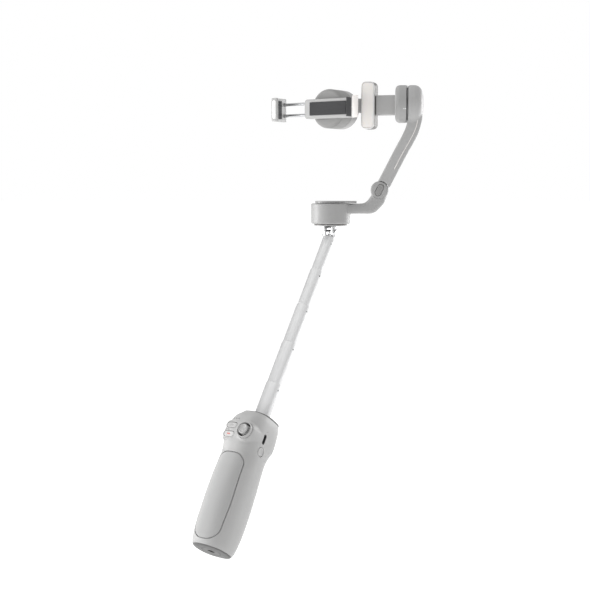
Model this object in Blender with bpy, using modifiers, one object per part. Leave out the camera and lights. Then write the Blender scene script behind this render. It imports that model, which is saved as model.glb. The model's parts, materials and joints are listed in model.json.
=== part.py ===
"""A folding three-axis phone gimbal on a five-section telescopic rod, at real size.

Frame: metres, +Z up. The origin is the middle of the handle's bottom face, where the tripod
thread is. The rod and the handle lean towards -Y, the side that a user faces; +X is the side
that carries the folding arm.
"""

import math

import bmesh
import bpy
from mathutils import Euler, Vector

# Handle and rod, along the handle's own axis
LEAN = math.radians(34.7)
HANDLE_TOP = 0.131
SHELL_WALL = 0.0022
NECK_PIVOT = 0.337
SECTION_TOPS = (0.1674, 0.2113, 0.2531, 0.2932, 0.3320)
SECTION_RADII = (0.0075, 0.0070, 0.0065, 0.0060, 0.0055)
SECTION_OVERLAP = 0.009
SECTION_WALL = 0.00034
# height, half width, half depth, shift to the front, squareness
HANDLE_SECTIONS = (
    (0.000, 0.0166, 0.0164, -0.0008, 2.3),
    (0.0012, 0.0178, 0.0177, -0.0004, 2.3),
    (0.004, 0.0190, 0.0189, -0.0004, 2.3),
    (0.012, 0.0199, 0.0201, 0.0000, 2.4),
    (0.025, 0.0203, 0.0216, 0.0006, 2.4),
    (0.045, 0.0204, 0.0221, 0.0018, 2.4),
    (0.065, 0.0201, 0.0216, 0.0031, 2.4),
    (0.080, 0.0198, 0.0202, 0.0038, 2.4),
    (0.090, 0.0195, 0.0195, 0.0041, 2.5),
    (0.098, 0.0191, 0.0215, 0.0046, 2.9),
    (0.105, 0.0189, 0.0232, 0.0036, 3.2),
    (0.116, 0.0186, 0.0226, 0.0038, 3.2),
    (0.124, 0.0176, 0.0206, 0.0024, 3.0),
    (0.131, 0.0150, 0.0177, -0.0004, 2.7),
)
RING_STEPS = 28

# Control places on the handle: across, along the handle's axis
PANEL_FRONT = 0.0264
STICK_X = 0.0092
STICK_Z = 0.1072
BUTTONS_X = -0.0080
MODE_Z = 0.1112
RECORD_Z = 0.1024
USB_Z = 0.1080
USB_FRONT = 0.0085
POWER_Z = 0.0960
POWER_FRONT = 0.0075
TRIGGER_Z = 0.1050
TRIGGER_PIVOT = (0.0165, 0.0075)
ROCKER_Z = 0.1060
ROCKER_PIVOT = (-0.0160, -0.0040)
LED_COUNT = 4
LED_FIRST = -0.0130
LED_STEP = 0.0030
LED_Z = 0.1186

# Joint in the neck, under the head
KNOB_RADIUS = 0.0044
NECK_EAR = 0.0046
NECK_GAP = 0.0066

# Head, measured from the neck pivot; the pan axis stands over it
PAN_RADIUS = 0.0195
DRUM_LOW = 0.0095
DRUM_HIGH = 0.0298
COVER_HIGH = 0.0322
ARM_TURN = math.radians(30.0)
ARM_DEPTH = 0.0150
FOLD_HUB = (0.0486, 0.0430)
HUB_RADIUS = 0.0088
KNUCKLE_HALF = 0.0034
ARM_RISE = math.radians(62.9)
# the outer edge of the rising arm, in the plane of the arm: out from the pan axis, up from the pivot
UPPER_OUTER = (
    (0.0590, 0.0460), (0.0740, 0.0760), (0.0850, 0.0950), (0.0892, 0.1065), (0.0908, 0.1180),
    (0.0910, 0.1300),
)
TILT_HEIGHT = 0.1274
TILT_SEAM = 0.0754
TILT_RADIUS = 0.0184
TILT_CAVITY = 0.0162
CAP_FACE = 0.0636
CAP_FLOOR = 0.0656
BAR_TURN = math.radians(18.0)
ROLL_X = 0.0020
ROLL_HEIGHT = 0.1228
ROLL_RADIUS = 0.0192
ROLL_SEAM = 0.0092
BAR_HEIGHT = 0.1264
BAR_FRONT = 0.0150
BAR_HALF = 0.0098

# Fill light, which hangs on the crossbar
LIGHT_ALONG = 0.0296
LIGHT_WIDTH = 0.0134
LIGHT_DEPTH = 0.0180
LIGHT_HEIGHT = 0.0464
BEZEL = 0.0026

# Phone clamp
SLOT_BACK = -0.0190
SLOT_FRONT = -0.0282
CLAMP_HEIGHT = 0.1225
JAW_HALF_HEIGHT = 0.0115
RIGHT_JAW_X = 0.0368
LEFT_JAW_X = -0.0467
JAW_LIP = -0.0312
PAD = 0.0010
BASE_LEFT = -0.0200
BASE_RIGHT = 0.0365
BASE_BACK = -0.0093
BASE_FRONT = -0.0174
RAIL_Y = -0.0134
RAIL_Z = 0.0055
RAIL_RADIUS = 0.0015
RAIL_START = -0.0490
RAIL_END = 0.0040

# Clear space left between two pieces that touch on the real object
GAP = 0.0003


def new_collection(name):
    made = bpy.data.collections.new(name)
    bpy.context.scene.collection.children.link(made)
    return made


def start():
    for thing in list(bpy.data.objects):
        bpy.data.objects.remove(thing, do_unlink=True)
    return new_collection("phone_gimbal"), new_collection("cutters")


PARTS, CUTTERS = start()


def finish(name, colour, roughness, metallic=0.0):
    made = bpy.data.materials.new(name)
    made.use_nodes = True
    shader = made.node_tree.nodes["Principled BSDF"]
    shader.inputs["Base Color"].default_value = (*colour, 1.0)
    shader.inputs["Roughness"].default_value = roughness
    shader.inputs["Metallic"].default_value = metallic
    return made


LIGHT_GREY = finish("light_grey_plastic", (0.62, 0.62, 0.62), 0.5)
MID_GREY = finish("mid_grey_plastic", (0.36, 0.36, 0.37), 0.55)
DARK_GREY = finish("dark_grey_plastic", (0.10, 0.10, 0.105), 0.6)
SOFT_GREY = finish("soft_grip", (0.47, 0.47, 0.475), 0.75)
WHITE = finish("white_diffuser", (0.92, 0.90, 0.87), 0.4)
RUBBER = finish("rubber", (0.06, 0.06, 0.065), 0.8)
CHROME = finish("polished_steel", (0.86, 0.87, 0.88), 0.12, 1.0)
STEEL = finish("steel", (0.55, 0.56, 0.58), 0.3, 1.0)
BRASS = finish("brass", (0.72, 0.56, 0.28), 0.35, 1.0)
COPPER = finish("copper_winding", (0.66, 0.33, 0.18), 0.4, 1.0)
BOARD = finish("circuit_board", (0.03, 0.16, 0.08), 0.5)
CELL = finish("cell_wrap", (0.08, 0.20, 0.42), 0.4)
RED = finish("red_button", (0.75, 0.30, 0.28), 0.5)


def empty(name, parent=None, place=(0, 0, 0), turn=(0, 0, 0)):
    made = bpy.data.objects.new(name, None)
    PARTS.objects.link(made)
    made.parent = parent
    made.location = place
    made.rotation_euler = turn
    return made


def add(name, mesh, surface, parent, place=(0, 0, 0), turn=(0, 0, 0), smooth=True):
    """Put a mesh in the scene: a part where it has a surface finish, or else a cutter."""
    made = bpy.data.objects.new(name, mesh)
    (PARTS if surface else CUTTERS).objects.link(made)
    made.parent = parent
    made.location = place
    made.rotation_euler = turn
    if surface:
        mesh.materials.append(surface)
        if smooth:
            mesh.shade_smooth()
            mesh.set_sharp_from_angle(angle=math.radians(35))
    else:
        made.hide_render = True
        made.display_type = "WIRE"
    return made


def mesh_from(build, name):
    work = bmesh.new()
    build(work)
    bmesh.ops.recalc_face_normals(work, faces=work.faces)
    mesh = bpy.data.meshes.new(name)
    work.to_mesh(mesh)
    work.free()
    return mesh


def bevel(thing, width, segments=2, angle=30):
    made = thing.modifiers.new("soft_edges", "BEVEL")
    made.width = width
    made.segments = segments
    made.limit_method = "ANGLE"
    made.angle_limit = math.radians(angle)
    return thing


def box(name, size, surface, parent, place=(0, 0, 0), turn=(0, 0, 0), edge=0.0, segments=2):
    def build(work):
        bmesh.ops.create_cube(work, size=1.0)
        bmesh.ops.scale(work, vec=Vector(size), verts=work.verts)

    made = add(name, mesh_from(build, name), surface, parent, place, turn)
    return bevel(made, edge, segments) if edge else made


def cylinder(name, radius, depth, surface, parent, place=(0, 0, 0), turn=(0, 0, 0), steps=24, edge=0.0):
    def build(work):
        bmesh.ops.create_cone(
            work, cap_ends=True, segments=steps, radius1=radius, radius2=radius, depth=depth
        )

    made = add(name, mesh_from(build, name), surface, parent, place, turn)
    return bevel(made, edge, 1, 60) if edge else made


def turned(name, profile, surface, parent, place=(0, 0, 0), turn=(0, 0, 0), steps=24, closed=False):
    """Turn a profile of (radius, height) points, outer side from top to bottom, about local Z."""
    points = [(radius, 0.0, height) for radius, height in profile]
    edges = [(i, i + 1) for i in range(len(points) - 1)]
    if closed:
        edges.append((len(points) - 1, 0))
    mesh = bpy.data.meshes.new(name)
    mesh.from_pydata(points, edges, [])
    made = add(name, mesh, surface, parent, place, turn, smooth=False)
    screw = made.modifiers.new("turn", "SCREW")
    screw.axis = "Z"
    screw.steps = steps
    screw.render_steps = steps
    screw.use_merge_vertices = True
    screw.merge_threshold = 0.00001
    screw.use_smooth_shade = False
    return made


def ring(name, outer, inner, low, high, surface, parent, place=(0, 0, 0), turn=(0, 0, 0), steps=24):
    profile = [(outer, high), (outer, low), (inner, low), (inner, high)]
    return turned(name, profile, surface, parent, place, turn, steps, closed=True)


def rounded(corners, arc_steps=4):
    """Turn (x, y, radius) corners into an outline whose corners are arcs."""
    outline = []
    count = len(corners)
    for i, (x, y, radius) in enumerate(corners):
        here = Vector((x, y))
        before = Vector(corners[i - 1][:2]) - here
        after = Vector(corners[(i + 1) % count][:2]) - here
        if radius <= 0:
            outline.append(here)
            continue
        half = before.angle(after) / 2
        reach = radius / math.tan(half)
        first = here + before.normalized() * reach
        last = here + after.normalized() * reach
        middle = here + (before.normalized() + after.normalized()).normalized() * (radius / math.sin(half))
        sweep = (first - middle).angle_signed(last - middle)
        for step in range(arc_steps + 1):
            turn = -sweep * step / arc_steps
            arm = first - middle
            outline.append(
                middle
                + Vector(
                    (
                        arm.x * math.cos(turn) - arm.y * math.sin(turn),
                        arm.x * math.sin(turn) + arm.y * math.cos(turn),
                    )
                )
            )
    return outline


def plate(name, outline, thickness, surface, parent, place=(0, 0, 0), turn=(0, 0, 0), edge=0.0, segments=2):
    """Extrude a flat outline, half its thickness to each side of local XY."""
    curve = bpy.data.curves.new(name + "_outline", "CURVE")
    curve.dimensions = "2D"
    curve.fill_mode = "BOTH"
    curve.extrude = thickness / 2
    spline = curve.splines.new("POLY")
    spline.points.add(len(outline) - 1)
    for point, (x, y) in zip(spline.points, outline):
        point.co = (x, y, 0.0, 1.0)
    spline.use_cyclic_u = True
    guide = bpy.data.objects.new(name + "_outline", curve)
    CUTTERS.objects.link(guide)
    bpy.context.view_layer.update()
    graph = bpy.context.evaluated_depsgraph_get()
    mesh = bpy.data.meshes.new_from_object(guide.evaluated_get(graph))
    bpy.data.objects.remove(guide, do_unlink=True)
    work = bmesh.new()
    work.from_mesh(mesh)
    bmesh.ops.remove_doubles(work, verts=work.verts, dist=0.000001)
    bmesh.ops.dissolve_limit(
        work, angle_limit=math.radians(1), verts=work.verts, edges=work.edges
    )
    bmesh.ops.recalc_face_normals(work, faces=work.faces)
    work.to_mesh(mesh)
    work.free()
    made = add(name, mesh, surface, parent, place, turn)
    return bevel(made, edge, segments) if edge else made


def boolean(target, other, operation):
    made = target.modifiers.new(operation.lower(), "BOOLEAN")
    made.operation = operation
    made.solver = "EXACT"
    made.object = other
    other.hide_render = True
    other.display_type = "WIRE"
    for holder in list(other.users_collection):
        holder.objects.unlink(other)
    CUTTERS.objects.link(other)
    return target


def cut(target, *cutters):
    for cutter in cutters:
        boolean(target, cutter, "DIFFERENCE")
    return target


def join(target, *others):
    for other in others:
        boolean(target, other, "UNION")
    return target


def bridge(work, lower, upper):
    count = len(lower)
    for i in range(count):
        j = (i + 1) % count
        work.faces.new((lower[i], lower[j], upper[j], upper[i]))


def loft(name, rings, surface, parent, inner=None):
    """Skin a stack of closed rings. With a second stack it makes a wall that is open at both ends."""

    def build(work):
        skins = []
        for stack in [rings] + ([inner] if inner else []):
            skin = [[work.verts.new(point) for point in line] for line in stack]
            for lower, upper in zip(skin, skin[1:]):
                bridge(work, lower, upper)
            skins.append(skin)
        if inner:
            bridge(work, skins[0][0], skins[1][0])
            bridge(work, skins[0][-1], skins[1][-1])
        else:
            work.faces.new(skins[0][0])
            work.faces.new(skins[0][-1])

    return add(name, mesh_from(build, name), surface, parent)


def blend_between(before, first, second, after, share):
    """A smooth value between first and second that keeps the slopes of its neighbours."""
    start_slope = (second - before) / 2
    end_slope = (after - first) / 2
    square = share * share
    cube = square * share
    return (
        (2 * cube - 3 * square + 1) * first
        + (cube - 2 * square + share) * start_slope
        + (3 * square - 2 * cube) * second
        + (cube - square) * end_slope
    )


def handle_size(height):
    """Half width, half depth, shift to the front and squareness at a height up the handle."""
    rows = HANDLE_SECTIONS
    place = max(i for i, row in enumerate(rows) if row[0] <= max(height, 0.0))
    place = min(place, len(rows) - 2)
    share = (height - rows[place][0]) / (rows[place + 1][0] - rows[place][0])
    share = min(max(share, 0.0), 1.0)
    four = [rows[max(min(place + k, len(rows) - 1), 0)] for k in (-1, 0, 1, 2)]
    return [blend_between(*(row[column] for row in four), share) for column in (1, 2, 3, 4)]


def handle_ring(height, inset=0.0):
    half_width, half_depth, shift, squareness = handle_size(height)
    line = []
    for i in range(RING_STEPS):
        turn = 2 * math.pi * (i + 0.5) / RING_STEPS
        across = math.copysign(abs(math.cos(turn)) ** (2 / squareness), math.cos(turn))
        forward = math.copysign(abs(math.sin(turn)) ** (2 / squareness), math.sin(turn))
        line.append(
            (
                (half_width - inset) * across,
                -(shift + (half_depth - inset) * forward),
                height,
            )
        )
    return line


# Turns that lay a plate's or a turned piece's local Z along another axis. FORWARD also stands a plate up
FORWARD = (math.radians(90), 0, 0)
BACKWARD = (math.radians(-90), 0, 0)
ALONG_X = (0, math.radians(90), 0)
SIDEWAYS = (math.radians(90), 0, math.radians(90))

handle = empty("handle_axis", turn=(-LEAN, 0, 0))
head = empty("neck_axis", place=(0, NECK_PIVOT * math.sin(LEAN), NECK_PIVOT * math.cos(LEAN)))
arm_plane = empty("pan_axis", head, turn=(0, 0, ARM_TURN))
tilt = empty("tilt_axis", arm_plane, place=(0, 0, TILT_HEIGHT))
tilt_side = empty("tilt_motor_fixed_side", arm_plane, place=(0, 0, TILT_HEIGHT))
bar = empty("crossbar_axis", head, place=(ROLL_X, BAR_FRONT, BAR_HEIGHT), turn=(0, 0, BAR_TURN))
light = empty("light_axis", bar, place=(LIGHT_ALONG, 0, 0))
roll = empty("roll_axis", head, place=(ROLL_X, 0, ROLL_HEIGHT))
roll_side = empty("roll_motor_fixed_side", head, place=(ROLL_X, 0, ROLL_HEIGHT))
clamp = empty("clamp_middle", head, place=(0, 0, CLAMP_HEIGHT))


def make_handle():
    heights = [0.0, 0.0012, 0.004, 0.010, 0.022, 0.038, 0.055, 0.070, 0.083]
    heights += [0.092, 0.099, 0.107, 0.115, 0.122, 0.127, HANDLE_TOP]
    inner_heights = [0.0, 0.010, 0.038, 0.070, 0.092, 0.107, 0.122, HANDLE_TOP]
    shell = loft(
        "handle_shell",
        [handle_ring(z) for z in heights],
        LIGHT_GREY,
        handle,
        inner=[handle_ring(z, SHELL_WALL) for z in inner_heights],
    )

    pad_outline = rounded(
        (
            (0.0140, 0.0865, 0.0075),
            (-0.0140, 0.0865, 0.0075),
            (-0.0145, 0.0400, 0.0),
            (-0.0130, 0.0060, 0.0085),
            (0.0130, 0.0060, 0.0085),
            (0.0145, 0.0400, 0.0),
        ),
        5,
    )
    pad_depth = 0.0010
    pad_heights = [0.002, 0.010, 0.022, 0.038, 0.055, 0.070, 0.083, 0.092, 0.099]

    def skin(name, outset, inset, surface, grow):
        made = loft(
            name,
            [handle_ring(z, -outset) for z in pad_heights],
            surface,
            handle,
            inner=[handle_ring(z, inset) for z in pad_heights],
        )
        middle = Vector((0.0, 0.046))
        grown = [p + (p - middle).normalized() * grow for p in pad_outline]
        window = plate(
            name + "_window", grown, 0.040, None, handle, place=(0, -0.022, 0), turn=FORWARD
        )
        boolean(made, window, "INTERSECT")
        return made

    skin("grip_pad", 0.0002, pad_depth, SOFT_GREY, 0.0)
    pad_recess = skin("grip_recess", 0.0040, pad_depth + GAP, None, GAP + 0.0002)

    cutters = [pad_recess]
    cutters.append(
        cylinder(
            "stick_hole", 0.0077, 0.02, None, handle, place=(STICK_X, -PANEL_FRONT, STICK_Z), turn=FORWARD
        )
    )
    for name, z in (("mode", MODE_Z), ("record", RECORD_Z)):
        cutters.append(
            plate(
                name + "_slot",
                button_outline(0.0118, 0.0062, 0.0030),
                0.02,
                None,
                handle,
                place=(BUTTONS_X, -PANEL_FRONT, z),
                turn=FORWARD,
            )
        )
    for i in range(LED_COUNT):
        cutters.append(
            cylinder(
                f"led_hole_{i + 1}", 0.0006, 0.02, None, handle,
                place=(LED_FIRST + i * LED_STEP, -0.0235, LED_Z), turn=FORWARD, steps=8,
            )
        )
    cutters.append(
        plate(
            "usb_hole", button_outline(0.0098, 0.0042, 0.0020), 0.02, None, handle,
            place=(0.0190, -USB_FRONT, USB_Z), turn=ALONG_X,
        )
    )
    cutters.append(
        cylinder(
            "power_hole", 0.0046, 0.02, None, handle, place=(0.0190, -POWER_FRONT, POWER_Z), turn=ALONG_X
        )
    )
    cutters.append(
        box("rocker_slot", (0.02, 0.0078, 0.0190), None, handle, place=(-0.0190, ROCKER_PIVOT[1], ROCKER_Z))
    )
    cutters.append(
        box("trigger_slot", (0.0146, 0.02, 0.0206), None, handle, place=(0, 0.0210, TRIGGER_Z))
    )
    cut(shell, *cutters)


def button_outline(width, height, radius, arc_steps=4):
    w, h = width / 2, height / 2
    return rounded(((w, h, radius), (-w, h, radius), (-w, -h, radius), (w, -h, radius)), arc_steps)


def make_handle_ends():
    top_outline = [(x, y) for x, y, _ in handle_ring(HANDLE_TOP - 0.0012, SHELL_WALL + 2 * GAP)]
    top = plate(
        "handle_top_plate", top_outline, 0.0020, MID_GREY, handle, place=(0, 0, HANDLE_TOP - 0.0014)
    )
    cut(top, cylinder("rod_mouth", 0.0082, 0.02, None, handle, place=(0, 0, HANDLE_TOP), steps=28))

    cap_outline = [(x, y) for x, y, _ in handle_ring(0.0, SHELL_WALL + GAP)]
    cap = plate("bottom_cap", cap_outline, 0.0030, MID_GREY, handle, place=(0, 0, 0.0015))
    cut(cap, cylinder("nut_hole", 0.0053, 0.02, None, handle, place=(0, 0, 0), steps=20))
    ring("tripod_nut", 0.0050, 0.0026, 0.0004, 0.0092, BRASS, handle, steps=20)


def make_inside():
    tube = [(0.0089, 0.1282), (0.0089, 0.0780), (0.0078, 0.0780), (0.0078, 0.1282)]
    turned("rod_guide_tube", tube, DARK_GREY, handle, closed=True)
    cylinder("battery_cell", 0.0091, 0.0560, CELL, handle, place=(0, 0, 0.0440), edge=0.0006)
    box("main_board", (0.0280, 0.0012, 0.0400), BOARD, handle, place=(0, -0.0128, 0.0970))


def make_controls():
    front = -PANEL_FRONT
    ring(
        "joystick_collar", 0.0074, 0.0067, -0.0060, 0.0014, LIGHT_GREY, handle,
        place=(STICK_X, front - 0.0012, STICK_Z), turn=FORWARD,
    )
    stick = empty("joystick_axes", handle, place=(STICK_X, front + 0.0075, STICK_Z))
    ring("joystick_ring", 0.0060, 0.0048, -0.0012, 0.0012, DARK_GREY, stick, turn=FORWARD, steps=20)
    cap = [
        (0.0, 0.0131), (0.0022, 0.0127), (0.0034, 0.0135), (0.0046, 0.0129), (0.0048, 0.0119),
        (0.0042, 0.0111), (0.0022, 0.0107), (0.0020, -0.0010), (0.0, -0.0010),
    ]
    turned("joystick_cap", cap, LIGHT_GREY, stick, turn=FORWARD, steps=24)

    for name, z, colour in (("mode_button", MODE_Z, LIGHT_GREY), ("record_button", RECORD_Z, RED)):
        plate(
            name, button_outline(0.0110, 0.0054, 0.0026), 0.0062, colour, handle,
            place=(BUTTONS_X, front + 0.0027, z), turn=FORWARD,
        )
    strip = box(
        "led_light_guide", (0.0116, 0.0014, 0.0030), WHITE, handle,
        place=(LED_FIRST + 1.5 * LED_STEP, -0.0120, LED_Z),
    )
    join(
        strip,
        *[
            cylinder(
                f"led_pip_{i + 1}", 0.00045, 0.0076, None, handle,
                place=(LED_FIRST + i * LED_STEP, -0.0158, LED_Z), turn=FORWARD, steps=8,
            )
            for i in range(LED_COUNT)
        ],
    )
    port = plate(
        "usb_port", button_outline(0.0090, 0.0034, 0.0016), 0.0070, STEEL, handle,
        place=(0.0152, -USB_FRONT, USB_Z), turn=ALONG_X,
    )
    cut(
        port,
        plate(
            "usb_mouth", button_outline(0.0084, 0.0028, 0.0013), 0.0070, None, handle,
            place=(0.0164, -USB_FRONT, USB_Z), turn=ALONG_X,
        ),
    )
    cylinder(
        "power_button", 0.0042, 0.0040, LIGHT_GREY, handle,
        place=(0.0172, -POWER_FRONT, POWER_Z), turn=ALONG_X, edge=0.0005,
    )

    rocker = empty("rocker_axis", handle, place=(*ROCKER_PIVOT, ROCKER_Z))
    paddle = plate(
        "zoom_rocker",
        rounded(
            (
                (-0.0048, 0.0088, 0.0015), (-0.0034, 0.0, 0.0), (-0.0048, -0.0088, 0.0015),
                (-0.0020, -0.0088, 0.0010), (0.0012, 0.0, 0.0010), (-0.0020, 0.0088, 0.0010),
            )
        ),
        0.0070, MID_GREY, rocker, turn=FORWARD, edge=0.0004, segments=1,
    )
    cut(
        paddle,
        cylinder("rocker_bore", 0.0010, 0.02, None, rocker, (-0.0010, 0, 0), FORWARD, 16),
    )

    trigger = empty("trigger_axis", handle, place=(0, TRIGGER_PIVOT[0], TRIGGER_Z + TRIGGER_PIVOT[1]))
    lever = plate(
        "trigger",
        rounded(
            (
                (0.0020, 0.0022, 0.0012), (-0.0018, 0.0022, 0.0015), (-0.0018, -0.0020, 0.0),
                (0.0010, -0.0160, 0.0010), (0.0056, -0.0168, 0.0018), (0.0070, -0.0120, 0.0030),
            )
        ),
        0.0136, MID_GREY, trigger, turn=SIDEWAYS, edge=0.0005, segments=1,
    )
    cut(lever, cylinder("trigger_bore", 0.0011, 0.03, None, trigger, turn=ALONG_X, steps=16))
    cylinder("trigger_pin", 0.0009, 0.0142, STEEL, trigger, turn=ALONG_X, steps=12)


def make_rod():
    """Five nested tubes, each rolled in at the top to the next one's size, with a lock hole in its side."""
    tops = SECTION_TOPS
    for i, (top, radius) in enumerate(zip(tops, SECTION_RADII)):
        below = HANDLE_TOP if i == 0 else tops[i - 1]
        low = below - SECTION_OVERLAP
        last = i == len(tops) - 1
        inner = radius - SECTION_WALL
        throat = 0.0032 if last else SECTION_RADII[i + 1] + 0.00012
        roll = 0.0016
        profile = [
            (throat, top), (radius - 0.0004, top - 0.0004), (radius, top - roll), (radius, low),
            (inner, low), (inner, top - roll), (throat, top - 0.0008),
        ]
        section = turned(f"rod_section_{i + 1}", profile, CHROME, handle, steps=20, closed=True)
        if last:
            continue
        pin_height = top - 0.0062
        cut(
            section,
            cylinder(
                f"pin_hole_{i + 1}", 0.0009, 0.004, None, handle,
                place=(radius, 0, pin_height), turn=ALONG_X, steps=8,
            ),
        )

    knuckle = plate(
        "rod_tip",
        [(0.0037 * math.cos(a), 0.0037 * math.sin(a)) for a in arc(0, 360, 20)],
        0.0060, CHROME, handle, place=(0, 0, NECK_PIVOT), turn=ALONG_X,
    )
    stem = cylinder(
        "rod_tip_stem", 0.0029, 0.0120, None, handle, place=(0, 0, NECK_PIVOT - 0.0080), steps=16
    )
    join(knuckle, stem)
    cut(
        knuckle,
        cylinder("tip_bore", 0.0017, 0.03, None, handle, place=(0, 0, NECK_PIVOT), turn=ALONG_X, steps=16),
    )


def arc(first, last, count):
    """Angles in radians spread evenly from first degrees up to, but not including, last."""
    return [math.radians(first + (last - first) * i / count) for i in range(count)]


def arc_line(centre, radius, first, last, count):
    """Points along an arc, both ends included, angles in degrees."""
    line = []
    for i in range(count + 1):
        turn = math.radians(first + (last - first) * i / count)
        line.append((centre[0] + radius * math.cos(turn), centre[1] + radius * math.sin(turn)))
    return line


def make_neck():
    ear = arc_line((0, 0), NECK_EAR, 180, 360, 12) + [(NECK_EAR, 0.0072), (-NECK_EAR, 0.0072)]
    fork = plate("neck_fork", ear, 0.0130, CHROME, head, turn=SIDEWAYS)
    cut(
        fork,
        box("fork_gap", (NECK_GAP, 0.03, 0.02), None, head, place=(0, 0, 0.0052 - 0.01)),
        cylinder("fork_bore", 0.0017, 0.03, None, head, turn=ALONG_X, steps=16),
    )
    base = ring("pan_base_plate", 0.0165, 0.0040, 0.0075, 0.0092, LIGHT_GREY, head, steps=32)
    base_boss = ring("pan_base_boss", 0.0060, 0.0040, 0.0080, 0.0125, None, head, steps=32)
    join(base, base_boss)

    pin = cylinder("hinge_pin", 0.0014, 0.0150, STEEL, head, turn=ALONG_X, steps=16)
    knobs = [
        turned(
            f"hinge_knob_{side}",
            [(0.0, 0.0014), (0.0036, 0.0014), (KNOB_RADIUS, 0.0008), (KNOB_RADIUS, 0.0), (0.0, 0.0)],
            None, head, place=(0.0068 * sign, 0, 0), turn=(0, math.radians(90 * sign), 0), steps=24,
        )
        for side, sign in (("right", 1), ("left", -1))
    ]
    join(pin, *knobs)


def edge_band(edge, left, right):
    """A closed band along an open line of (x, y) points, so far to its left and so far to its right."""
    line = [Vector(point) for point in edge]
    normals = []
    for i in range(len(line)):
        along = (line[min(i + 1, len(line) - 1)] - line[max(i - 1, 0)]).normalized()
        normals.append(Vector((-along.y, along.x)))
    outer = [point + normal * left for point, normal in zip(line, normals)]
    inner = [point - normal * right for point, normal in zip(line, normals)]
    return outer + inner[::-1]


def make_motor(name, fixed, turning, place, turn, cavity, low, high, shaft, bearing):
    """Coils and bearing on the fixed side, magnets and shaft on the turning side."""
    ring(f"{name}_coils", cavity - 0.0020, 0.0062, low, high, COPPER, fixed, place, turn, 24)
    ring(f"{name}_bearing", 0.0056, 0.0026, bearing, bearing + 0.0028, STEEL, fixed, place, turn, 20)
    ring(f"{name}_magnets", cavity - 0.0004, cavity - 0.0016, low, high, DARK_GREY, turning, place, turn, 24)
    return cylinder(
        f"{name}_shaft", 0.0024, shaft[1] - shaft[0], None, turning,
        Vector(place) + Euler(turn).to_matrix() @ Vector((0, 0, (shaft[0] + shaft[1]) / 2)), turn, 16,
    )


def make_lower_arm():
    low, high = DRUM_LOW, DRUM_HIGH
    cavity = PAN_RADIUS - 0.0020
    ceiling = high - 0.0022
    drum = [
        (0.0, high), (PAN_RADIUS - 0.0008, high), (PAN_RADIUS, high - 0.0008), (PAN_RADIUS, low + 0.0006),
        (PAN_RADIUS - 0.0006, low), (cavity, low), (cavity, ceiling), (0.0, ceiling),
    ]
    outline = rounded(
        (
            (0.0178, 0.0196, 0.0), (0.0435, 0.0196, 0.0110), (0.0532, 0.0298, 0.0100),
            (0.0560, 0.0375, 0.0), (0.0535, 0.0450, 0.0), (0.0445, 0.0450, 0.0), (0.0412, 0.0390, 0.0),
            (0.0352, 0.0297, 0.0080), (0.0178, 0.0296, 0.0),
        )
    )
    arm = plate("lower_arm", outline, ARM_DEPTH - 0.0010, LIGHT_GREY, arm_plane, turn=FORWARD, edge=0.0020)
    hub = (FOLD_HUB[0], 0, FOLD_HUB[1])
    lugs = cylinder("hub_lugs", HUB_RADIUS, 0.0146, None, arm_plane, hub, FORWARD, 28)
    drum_body = turned("lower_arm_drum", drum, None, arm_plane, steps=32)
    join(arm, lugs, drum_body)
    slot = rounded(
        (
            (0.0, -0.0092, 0.0), (0.0140, -0.0020, 0.0), (0.0140, 0.0160, 0.0), (-0.0160, 0.0160, 0.0),
            (-0.0160, 0.0, 0.0),
        )
    )
    cut(
        arm,
        cylinder(
            "knuckle_room", HUB_RADIUS + 0.0004, 2 * KNUCKLE_HALF + 2 * GAP, None, arm_plane, hub, FORWARD, 28
        ),
        plate("knuckle_slot", slot, 2 * KNUCKLE_HALF + 2.1 * GAP, None, arm_plane, hub, FORWARD),
        cylinder("fold_bore", 0.0021, 0.0116, None, arm_plane, (hub[0], 0.0011, hub[2]), FORWARD, 16),
        plate(
            "lock_pocket", button_outline(0.0126, 0.0066, 0.0030), 0.0060, None, arm_plane,
            (hub[0], -0.0076, hub[2]), (FORWARD[0], -ARM_RISE, 0),
        ),
    )
    plate(
        "pan_top_cover", cover_outline(0.0), COVER_HIGH - high - GAP, LIGHT_GREY, arm_plane,
        (0, 0, (COVER_HIGH + high + GAP) / 2), edge=0.0005,
    )
    shaft = make_motor(
        "pan_motor", head, arm_plane, (0, 0, 0), (0, 0, 0), cavity, 0.0135, 0.0245,
        (0.0098, ceiling + 0.0010), 0.0128,
    )
    join(arm, shaft)
    cylinder("fold_pin", 0.0019, 0.0106, STEEL, arm_plane, (hub[0], 0.0012, hub[2]), FORWARD, 16)
    plate(
        "fold_lock_button", button_outline(0.0120, 0.0060, 0.0027), 0.0020, MID_GREY, arm_plane,
        (hub[0], -0.0064, hub[2]), (FORWARD[0], -ARM_RISE, 0), edge=0.0004,
    )


def cover_outline(grow):
    big = 0.0155 + grow
    small = 0.0062 + grow
    reach = 0.0200
    tilt = math.degrees(math.acos((big - small) / reach))
    line = arc_line((0, 0), big, tilt, 360 - tilt, 20)
    return line + arc_line((reach, 0), small, -tilt, tilt, 6)


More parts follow.
